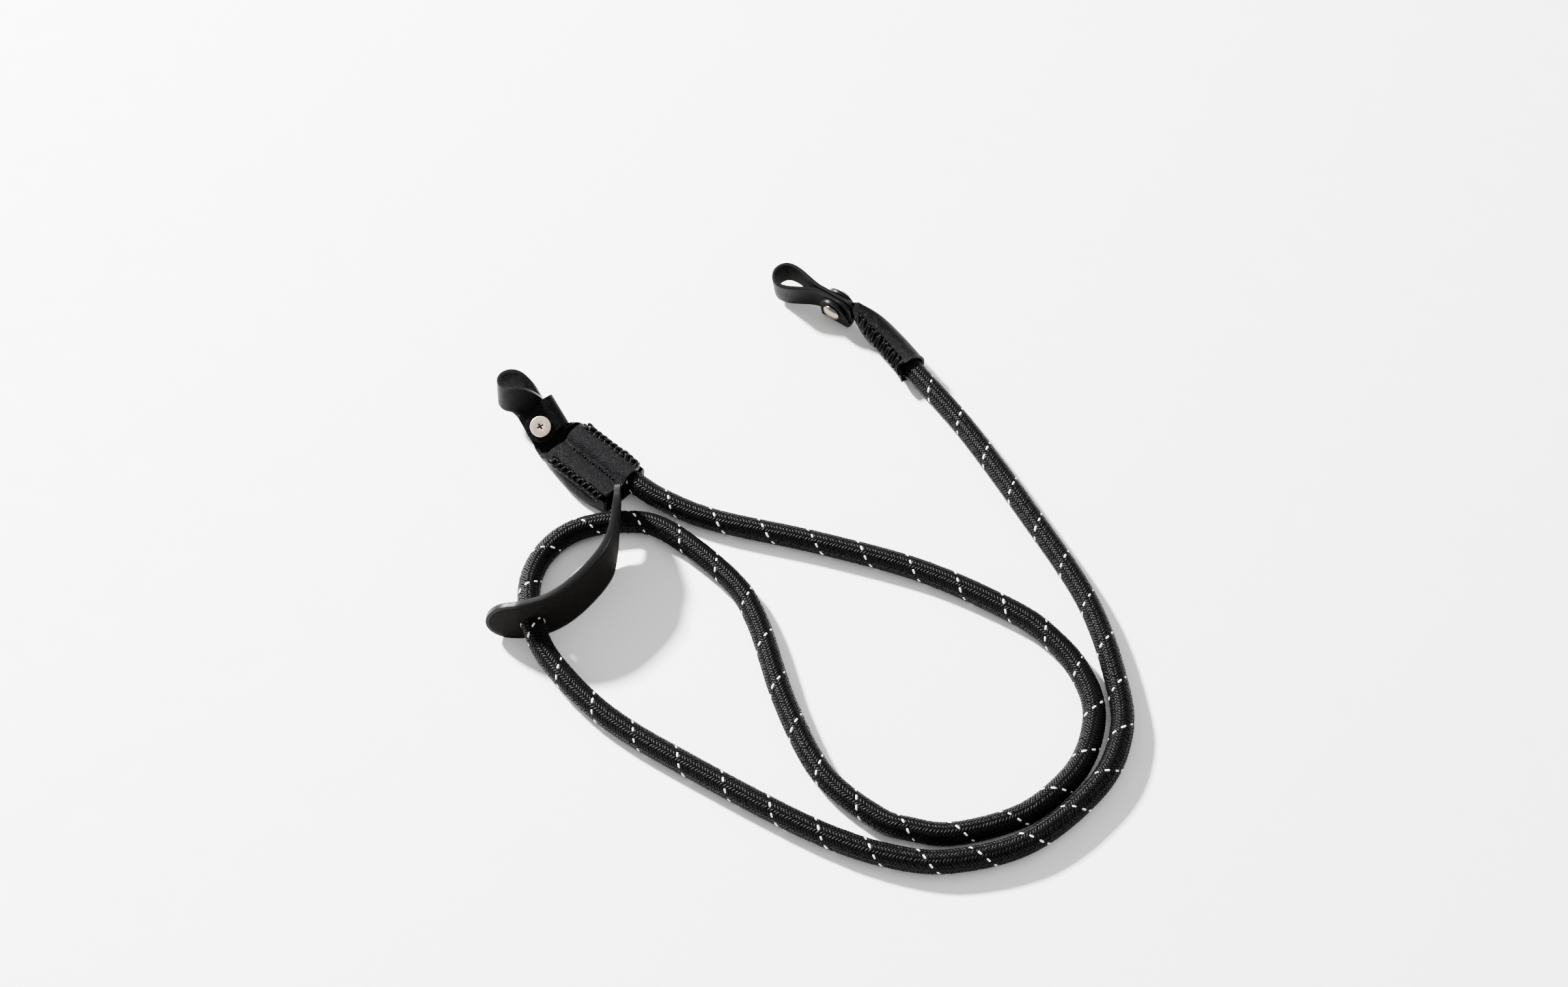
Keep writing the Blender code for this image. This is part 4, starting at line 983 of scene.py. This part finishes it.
def sleeve_rings(shares, inset, seam=1.0):
    """Rings round the sleeve's line: x = a sign(cos t) |cos t|^p and y = b sign(sin t) |sin t|^p,
    with a and b blended from the sleeve's radius to the tongue's half sizes, and p from 1 down.

    The seam adds a ridge, a Gauss bell round its angle less a narrower one for the butted edges.
    At the mouth a bell draws the ring back to a notch, and one beside it sends the lip forward.
    Nothing goes below the table."""
    shares = np.asarray(shares, float)
    length = run_lengths(SLEEVE_LINE)[-1]
    run = shares * length
    form = smooth(SLEEVE_FORM, 12)
    flat = np.interp(shares, form[:, 0], form[:, 1])[:, None]
    centre = at_run(SLEEVE_LINE, run)
    way = unit(at_run(SLEEVE_LINE, run, unit(np.gradient(SLEEVE_LINE, axis=0))))
    tall = unit(SLEEVE_FRAMES[2][0] * flat - UP * (1 - flat))
    side = unit(np.cross(tall, way))
    thin = STRAP_THICKNESS / 2 + CLEARANCE + SLEEVE_WALL
    high = TONGUE_WIDTH / 2 + CLEARANCE + SLEEVE_WALL + NECK_MARGIN
    half_side = SLEEVE_RADIUS + (thin - SLEEVE_RADIUS) * flat - inset
    half_tall = SLEEVE_RADIUS + (high - SLEEVE_RADIUS) * flat - inset
    turn = np.linspace(0, 2 * math.pi, SLEEVE_SIDES, endpoint=False)[None]
    off = turn - SEAM_TURN
    mouth = np.clip(1 - shares / MOUTH_SHARE, 0, 1)[:, None] ** 2
    lip = bell(off, LIP) * mouth
    notch = bell(off, NOTCH) * mouth
    ridge = seam * (RIDGE[0] * bell(off, RIDGE) - GROOVE[0] * bell(off, GROOVE)) * (1 - flat * 0.6)
    proud = ridge + LIP_FLARE * lip + MOUTH_FLARE * mouth ** 3
    half_side = half_side + proud
    half_tall = half_tall + proud
    power = 2 / (2 + 1.6 * flat)
    x = half_side * np.sign(np.cos(turn)) * np.abs(np.cos(turn)) ** power
    y = half_tall * np.sign(np.sin(turn)) * np.abs(np.sin(turn)) ** power
    point = centre[:, None] + x[..., None] * side[:, None] + y[..., None] * tall[:, None]
    point -= (LIP[0] * lip - NOTCH[0] * notch)[..., None] * way[:, None]
    point[..., 2] = np.maximum(point[..., 2], TABLE_GAP)
    return point


print("seam at", round(math.degrees(SEAM_TURN)), "degrees round the sleeve")

# %% [markdown]
# The skin is one run of rings: up the inside, round the mouth's cut edge and along the outside to
# the neck, where it turns in again. So it is a hollow wall with no loose edge in sight. The strap
# is a sheet like the pouch's, narrower where its tongue goes into the neck.

# %% Sleeve and strap
INNER_RINGS, OUTER_RINGS = 16, 60
SLEEVE_LOOP_LENGTH, SLEEVE_LOOP_RADIUS = 28.0, 5.0
STRAP_COLUMNS = 13

inner = sleeve_rings(np.linspace(0.5, 0.0, INNER_RINGS), SLEEVE_WALL, 0.0)
outer = sleeve_rings(np.linspace(0.0, 1.0, OUTER_RINGS), 0.0)
neck = sleeve_rings(np.array([1.0, 0.93]), SLEEVE_WALL, 0.0)
rings = np.concatenate([inner, outer, neck])
kinds = np.repeat([1] * (INNER_RINGS - 1) + [2] + [0] * (OUTER_RINGS - 1) + [2, 1], SLEEVE_SIDES)
sleeve = new_piece("rope_sleeve_leather", rings.reshape(-1, 3),
                   grid_faces(len(rings), SLEEVE_SIDES, wrap=True), [SMOOTH_GRAIN, SUEDE, EDGE],
                   kinds)
soften(sleeve, 0.3, finish=2)
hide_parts("rope_sleeve")

start = -SCREW_TO_SLEEVE
tongue = [(start - TONGUE_DEPTH, STRAP_HALF_GAP), (start + 0.5, STRAP_HALF_GAP)]
loop = loop_outline(SLEEVE_LOOP_LENGTH, SLEEVE_LOOP_RADIUS, LOOP_STRAIGHT, start + 2.0, start + 1.2)
outline = np.concatenate([tongue, loop])
widths = np.full(len(outline), STRAP_WIDTH)
widths[:2], widths[-1] = TONGUE_WIDTH, STRAP_WIDTH * 0.7
strap_form = smooth(np.column_stack([outline, widths]), 5)
strap_middle = strap_grid(SLEEVE_FRAMES, strap_form[:, :2], STRAP_COLUMNS, strap_form[:, 2])
strap = leather("sleeve_lug_strap", strap_middle, STRAP_THICKNESS, [SUEDE, SMOOTH_GRAIN, EDGE])
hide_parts("sleeve_strap")
print("sleeve", rings.shape[:2], "rings and sides, lug strap", strap_middle.shape[:2])

# %% [markdown]
# ## Keepers and screws
#
# A keeper is a short strip with round ends, folded over one edge of the strap. The screw goes
# through both of its legs. Its grid is a set of strands side by side. Each strand starts on the
# round end, at -sqrt(r^2 - q^2) for a strand at q across, and goes over the fold and back.

# %% Keepers
def keeper_grid(frames, slant):
    """Strands from one round end, round the fold, to the other. A leg's point at run and q across is
    turned by the slant: (run sin s + q cos s, run cos s - q sin s)."""
    centre, way, width, face = (rows[0] for rows in frames)
    lean, half = math.radians(slant), KEEPER_WIDTH / 2
    q = half * np.sin(np.linspace(-1, 1, 25) * math.radians(86))[:, None]
    leg = np.linspace(0, 1, 14)[None]
    begin = -np.sqrt(half ** 2 - q ** 2)
    stop = (KEEPER_REACH + q * math.sin(lean)) / math.cos(lean)
    run = begin + leg * (stop - begin)
    upper = np.stack([run * math.sin(lean) + q * math.cos(lean), run * math.cos(lean) - q * math.sin(lean),
                      np.full(run.shape, KEEPER_FOLD_RADIUS)], axis=-1)
    turn = np.radians(np.linspace(0, 180, 15))[None, 1:-1] + 0 * q
    fold = np.stack([upper[:, -1:, 0] + 0 * turn, KEEPER_REACH + KEEPER_FOLD_RADIUS * np.sin(turn),
                     KEEPER_FOLD_RADIUS * np.cos(turn)], axis=-1)
    strands = np.concatenate([upper, fold, (upper * [1, 1, -1])[:, ::-1]], axis=1)
    return centre + strands @ np.array([way, width, face])


# columns: fitting, its strap's frames, the keeper's slant in degrees
for name, frames, slant in (("pouch", POUCH_FRAMES, 20.0), ("sleeve", SLEEVE_FRAMES, 0.0)):
    keeper = leather(name + "_keeper_strip", keeper_grid(frames, slant), KEEPER_THICKNESS,
                     [SUEDE, SMOOTH_GRAIN, EDGE], 0.45)
    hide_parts(name + "_keeper")
    print(name, "keeper has", len(keeper.data.polygons), "faces before its rim is rounded")

# %% [markdown]
# The screw's flat head has a cross and its post has a domed head. Both are solids of revolution:
# a profile of radius and height, turned about the screw's axis. The cross is two bars cut out of
# the head, which keeps its real depth and shadow, where a painted cross would look flat. Its walls
# also take the recess finish, a dark brown of painted shade.

# %% Shapes of the screw
TURNS = 64
CROSS_DEPTH = 0.5
CROSS_HALF_WIDTH = 0.35
CROSS_HALF_SPAN = 1.3


def turned(name, frames, outline, side, finish):
    """A profile of (radius, height) turned about the screw's axis: centre + radius (cos t way +
    sin t width) + height face. side is 1 on the upper face and -1 on the lower one."""
    centre, way, width, face = (rows[0] for rows in frames)
    radius, height = np.array(outline, float).T
    turn = np.linspace(0, 2 * math.pi, TURNS, endpoint=False)
    circle = np.outer(np.cos(turn), way) + np.outer(np.sin(turn), width)
    points = centre + radius[:, None, None] * circle + side * height[:, None, None] * face
    rows = len(radius)
    caps = [range(TURNS)[::-1] if side < 0 else range(TURNS),
            range((rows - 1) * TURNS, rows * TURNS)[::-1 if side > 0 else 1]]
    return new_piece(name, points.reshape(-1, 3), grid_faces(rows, TURNS, wrap=True, flip=side > 0),
                     [finish, PAINTED_SHADE_RECESS], np.zeros((rows - 1) * TURNS + 2), caps=caps)


def cross_cutter(name, frames, run, side, top):
    """A bar as long as the cross, from its depth below the head's top to as much above it."""
    centre, face = frames[0][0], frames[3][0]
    reach, thin = run * CROSS_HALF_SPAN, side * CROSS_HALF_WIDTH
    corners = np.array([reach + thin, reach - thin, -reach - thin, -reach + thin])
    rings = centre + corners + face * np.array([top - CROSS_DEPTH, top + CROSS_DEPTH])[:, None, None]
    quads = grid_faces(2, 4, wrap=True, flip=np.dot(np.cross(run, side), face) > 0)
    ends = [range(4), range(4, 8)[::-1]]
    if np.dot(np.cross(run, side), face) < 0:
        ends = [range(4)[::-1], range(4, 8)]
    # the bar's faces carry the recess's painted shade onto the walls of the cut cross
    return new_piece(name, rings.reshape(-1, 3), quads, [SATIN_NICKEL, PAINTED_SHADE_RECESS],
                     np.ones(6), caps=ends)


print("cross", 2 * CROSS_HALF_SPAN, "by", 2 * CROSS_HALF_WIDTH, "mm, and", CROSS_DEPTH, "mm deep")

# %% [markdown]
# The head's profile goes out under the head, up its side and round its edge. The dome is part of
# an ellipse on a short rim. Both start just clear of the keeper, and the shank stands inside the
# barrel. A small Bevel takes the sharpness off, as plating does, so that the edges catch light.

# %% Screws
HEAD_RADIUS = 4.0
HEAD_HEIGHT = 1.3
HEAD_EDGE = 0.3
DOME_RADIUS = 3.8
DOME_RISE = 1.9
DOME_RIM = 0.35
SHANK_RADIUS = 1.2
BARREL_RADIUS = 2.0
SEAT = SCREW_SEAT + 0.05

for name, frames in (("pouch", POUCH_FRAMES), ("sleeve", SLEEVE_FRAMES)):
    top = SCREW_SEAT + HEAD_HEIGHT
    edge = [(HEAD_RADIUS - HEAD_EDGE * (1 - math.sin(t)), top - HEAD_EDGE * (1 - math.cos(t)))
            for t in np.radians([90, 60, 30, 0])]
    outline = [(SHANK_RADIUS, -SCREW_SEAT * 0.6), (SHANK_RADIUS, SEAT), (HEAD_RADIUS, SEAT), *edge]
    screw = turned(name + "_screw_head", frames, outline, 1, SATIN_NICKEL)
    way, width = frames[1][0], frames[2][0]
    for number, (run, side) in enumerate(((way, width), (width, way))):
        screw = carve(screw, cross_cutter(f"{name}_cross_{number}", frames, run, side, top))
    soften(screw, 0.12, 2)
    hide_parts(name + "_screw")
    outline = [(BARREL_RADIUS, CLEARANCE - SCREW_SEAT), (BARREL_RADIUS, SEAT), (DOME_RADIUS, SEAT),
               (DOME_RADIUS, SEAT + DOME_RIM)]
    outline += [(DOME_RADIUS * math.cos(t), SEAT + DOME_RIM + DOME_RISE * math.sin(t))
                for t in np.radians(np.linspace(8, 88, 12))]
    # the dome takes the nickel that is darkened into painted shade
    post = turned(name + "_post_dome", frames, outline, -1, NICKEL_WITH_PAINTED_SHADE)
    soften(post, 0.15)
    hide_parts(name + "_post")
    print(name, "screw", len(screw.data.polygons), "faces, post", len(post.data.polygons), "faces")

# %% [markdown]
# ## Stitches
#
# Waxed thread shows as short fat pills, pulled into the leather at both ends. Each stitch is a
# small tube along its own bent path, thinned to nothing at both ends. All stitches of a seam are
# one array and one piece. A hand pulls no two alike, so each is moved by about a tenth of a
# millimetre and is a little thinner or thicker, from a seeded draw that is the same each run.

# %% A seam's thread
THREAD_SIDES = 10
THREAD_SLIP = 0.1


def stitches(name, paths, radius):
    """Tubes along paths of shape (stitches, stations, 3). The radius is that of the thread times
    1 - 0.85 s^6, for s from -1 to 1 along the stitch, and 0.85 as high as it is wide."""
    paths = np.asarray(paths, float)
    fine = np.array([evenly(smooth(path, 6), 13) for path in paths])
    count, stations, _ = fine.shape
    chance = np.random.default_rng(count)
    fine += chance.normal(0, THREAD_SLIP, (count, 1, 3))
    way = unit(np.gradient(fine, axis=1))
    chord = unit(fine[:, -1] - fine[:, 0])[:, None]
    bow = fine[:, stations // 2] - (fine[:, 0] + fine[:, -1]) / 2
    side = unit(np.cross(chord, bow[:, None] + 1e-6 * UP) + 0 * way)
    side = unit(side - way * np.sum(side * way, axis=2, keepdims=True))
    top = np.cross(way, side)
    turn = np.linspace(0, 2 * math.pi, THREAD_SIDES, endpoint=False)[None, None, :, None]
    share = np.linspace(-1, 1, stations)[None, :, None, None]
    thick = radius * (1 - 0.85 * share ** 6) * chance.uniform(0.84, 1.06, (count, 1, 1, 1))
    ring = np.cos(turn) * side[:, :, None] + 0.85 * np.sin(turn) * top[:, :, None]
    rings = fine[:, :, None] + thick * ring
    one = grid_faces(stations, THREAD_SIDES, wrap=True)
    quads = (one[None] + stations * THREAD_SIDES * np.arange(count)[:, None, None]).reshape(-1, 4)
    length = np.linspace(0, 4.0, stations)[None, :, None] + 9.0 * np.arange(count)[:, None, None]
    uv = np.stack(np.broadcast_arrays(length, np.linspace(0, 3.0, THREAD_SIDES)[None, None, :]), axis=-1)
    print(name, count, "stitches")
    return new_piece(name, rings.reshape(-1, 3), quads, [THREAD], uv=uv.reshape(-1, 2))


def bars(along, table):
    """The same bent path at each station along the pouch, in layout points."""
    return in_pouch([[(a + forward, across, above) for forward, across, above in table] for a in along])


def row_paths(line, gap, length, rise):
    """Short arcs along a line, one every gap: each starts and ends under it and rises in the middle."""
    start = np.arange(gap, run_lengths(line)[-1] - length - gap / 2, gap)[:, None]
    points = at_run(line, start + length * np.array([0.0, 0.2, 0.5, 0.8, 1.0]))
    return points + np.array([-0.35, 0.5, 1.0, 0.5, -0.35])[:, None] * rise


example = row_paths(np.array([[0.0, 0.0, 0.0], [10.0, 0.0, 0.0]]), 2.0, 1.7, 0.3 * UP)
print("a row 10 mm long with a stitch every 2 mm has", len(example), "stitches")

# %% [markdown]
# The pouch's long edges are whip stitched: the thread goes over both layers, with a knot on the
# upper side and a run along the rim between two stitches. Each of the three is one short table of
# points, and is repeated at every station along the pouch. A stitched row down the valley and one
# across the wing hold the layers together.

# %% Pouch stitches
WHIP_INSET, WHIP_STEP = 2.4, 2.75
whip_along = np.arange(FRONT_OVERHANG - WHIP_INSET, FRONT_OVERHANG - FRONT_LENGTH + WHIP_INSET, -WHIP_STEP)
# columns: forward part, across, above
LEFT_WHIP = [(1.0, RIM_ACROSS + 1.0, 9.9), (0.6, RIM_ACROSS - 0.2, 9.9), (0.1, RIM_ACROSS - 1.4, 9.1),
             (-0.4, RIM_ACROSS - 1.8, 8.0), (-0.8, RIM_ACROSS - 1.5, 7.0)]
LEFT_KNOT = [(-2.3, RIM_ACROSS + 0.5, 9.7), (-1.5, RIM_ACROSS + 0.1, 10.1), (-0.5, RIM_ACROSS + 0.1, 10.1),
             (0.3, RIM_ACROSS + 0.5, 9.8)]
LEFT_RIM = [(-2.6, RIM_ACROSS - 1.5, 8.6), (-1.7, RIM_ACROSS - 2.0, 8.5), (-0.8, RIM_ACROSS - 2.0, 8.5),
            (0.1, RIM_ACROSS - 1.5, 8.6)]
RIGHT_WHIP = [(1.1, 3.9, 11.1), (0.7, 5.3, 11.1), (0.2, 6.8, 10.1), (-0.3, 7.3, 8.6), (-0.7, 6.9, 7.3)]
RIGHT_KNOT = [(-2.2, 4.0, 11.1), (-1.4, 4.2, 11.4), (-0.6, 4.2, 11.4), (0.2, 4.0, 11.2)]
RIGHT_RIM = [(-2.6, 6.6, 10.0), (-1.7, 7.0, 10.2), (-0.8, 7.0, 10.2), (0.1, 6.6, 10.0)]
for name, table, radius in (
        # columns: row, its table, the thread's radius
        ("left_whip", LEFT_WHIP, 0.7), ("left_knot", LEFT_KNOT, 0.6), ("left_rim", LEFT_RIM, 0.6),
        ("right_whip", RIGHT_WHIP, 0.82), ("right_knot", RIGHT_KNOT, 0.7), ("right_rim", RIGHT_RIM, 0.78)):
    stitches(f"pouch_{name}_stitches", bars(whip_along, table), radius)

valley = POUCH_ROPE_HEIGHT * TRAY_WALL[0][1] + CLEARANCE * 2 + FRONT_THICKNESS - 0.2
middle = in_pouch([(a, VALLEY_ACROSS - 0.1, valley) for a in (FRONT_OVERHANG - 2.6, FRONT_OVERHANG - 28.0)])
stitches("pouch_middle_stitches", row_paths(middle, 1.5, 1.25, 0.3 * UP), 0.42)
WING_ROW = 35
end_line = back_grid[WING_ROW, 5:-3] + UP * BACK_THICKNESS / 2
stitches("pouch_end_stitches", row_paths(end_line, 2.0, 1.7, 0.3 * UP), 0.5)

# %% [markdown]
# The sleeve's seam is cross stitched: the thread goes to and fro over the butted edges, each pass
# slanted the other way, with a row of plain stitches along both sides. The passes follow the
# sleeve's own rings a little above its surface, so they bend over the ridge as the thread does.

# %% Sleeve stitches
PASSES = 19
HALF_BAND = 9
SLANT = 0.6

surface = sleeve_rings(np.linspace(0.02, 0.9, PASSES), 0.0, 0.0)
column = round(SEAM_TURN / (2 * math.pi) * SLEEVE_SIDES)
centre = surface.mean(axis=1, keepdims=True)
band = surface[:, column - HALF_BAND:column + HALF_BAND + 1]
way = unit(np.gradient(surface[:, column], axis=0))
outward = unit(band - centre)
to_and_fro = np.where(np.arange(PASSES) % 2, 1, -1)[:, None, None]
skew = np.linspace(-SLANT, SLANT, 2 * HALF_BAND + 1)[:, None] * to_and_fro
crossing = (band + 0.42 * outward + skew * way[:, None])[:, [0, 2, 6, 12, 16, 18]]
crossing[:, [0, -1]] -= 0.6 * outward[:, [0, -1]]
stitches("sleeve_cross_stitches", crossing, 0.6)
for name, index in (("lower", 1), ("upper", -2)):
    rise = outward[:, index].mean(axis=0)
    row = row_paths(band[:, index], 2.3, 1.7, 0.45 * rise)
    stitches(f"sleeve_{name}_stitches", row, 0.55)

# %% [markdown]
# ## The table
#
# The floor is a plain pale sheet of matte paper, three metres to each side, so that no edge of it
# shows. It isn't part of the object, so it is left off the model's body.

# %% Table
TABLE_REACH = 3.0
corners = [(-TABLE_REACH, -TABLE_REACH, 0), (TABLE_REACH, -TABLE_REACH, 0), (TABLE_REACH, TABLE_REACH, 0),
           (-TABLE_REACH, TABLE_REACH, 0)]
mesh = bpy.data.meshes.new("table")
mesh.from_pydata(corners, [], [(0, 1, 2, 3)])
mesh.materials.append(grit_finish("matte_white_table", "#fafaf9", "#fcfcfb", 0.75, 14.0, 0.02))
table = bpy.data.objects.new("table", mesh)
bpy.context.scene.collection.objects.link(table)
print("table", 2 * TABLE_REACH, "m wide")

# %% [markdown]
# ## The triangle count
#
# The triangles are counted as they will be shown, with their rounded edges.

# %% Count
total = 0
for piece in bpy.data.objects:
    if piece.type == "MESH" and not piece.hide_render and piece != table:
        shown = piece.evaluated_get(bpy.context.evaluated_depsgraph_get())
        total += len(shown.to_mesh().loop_triangles)
print("triangles shown", total)
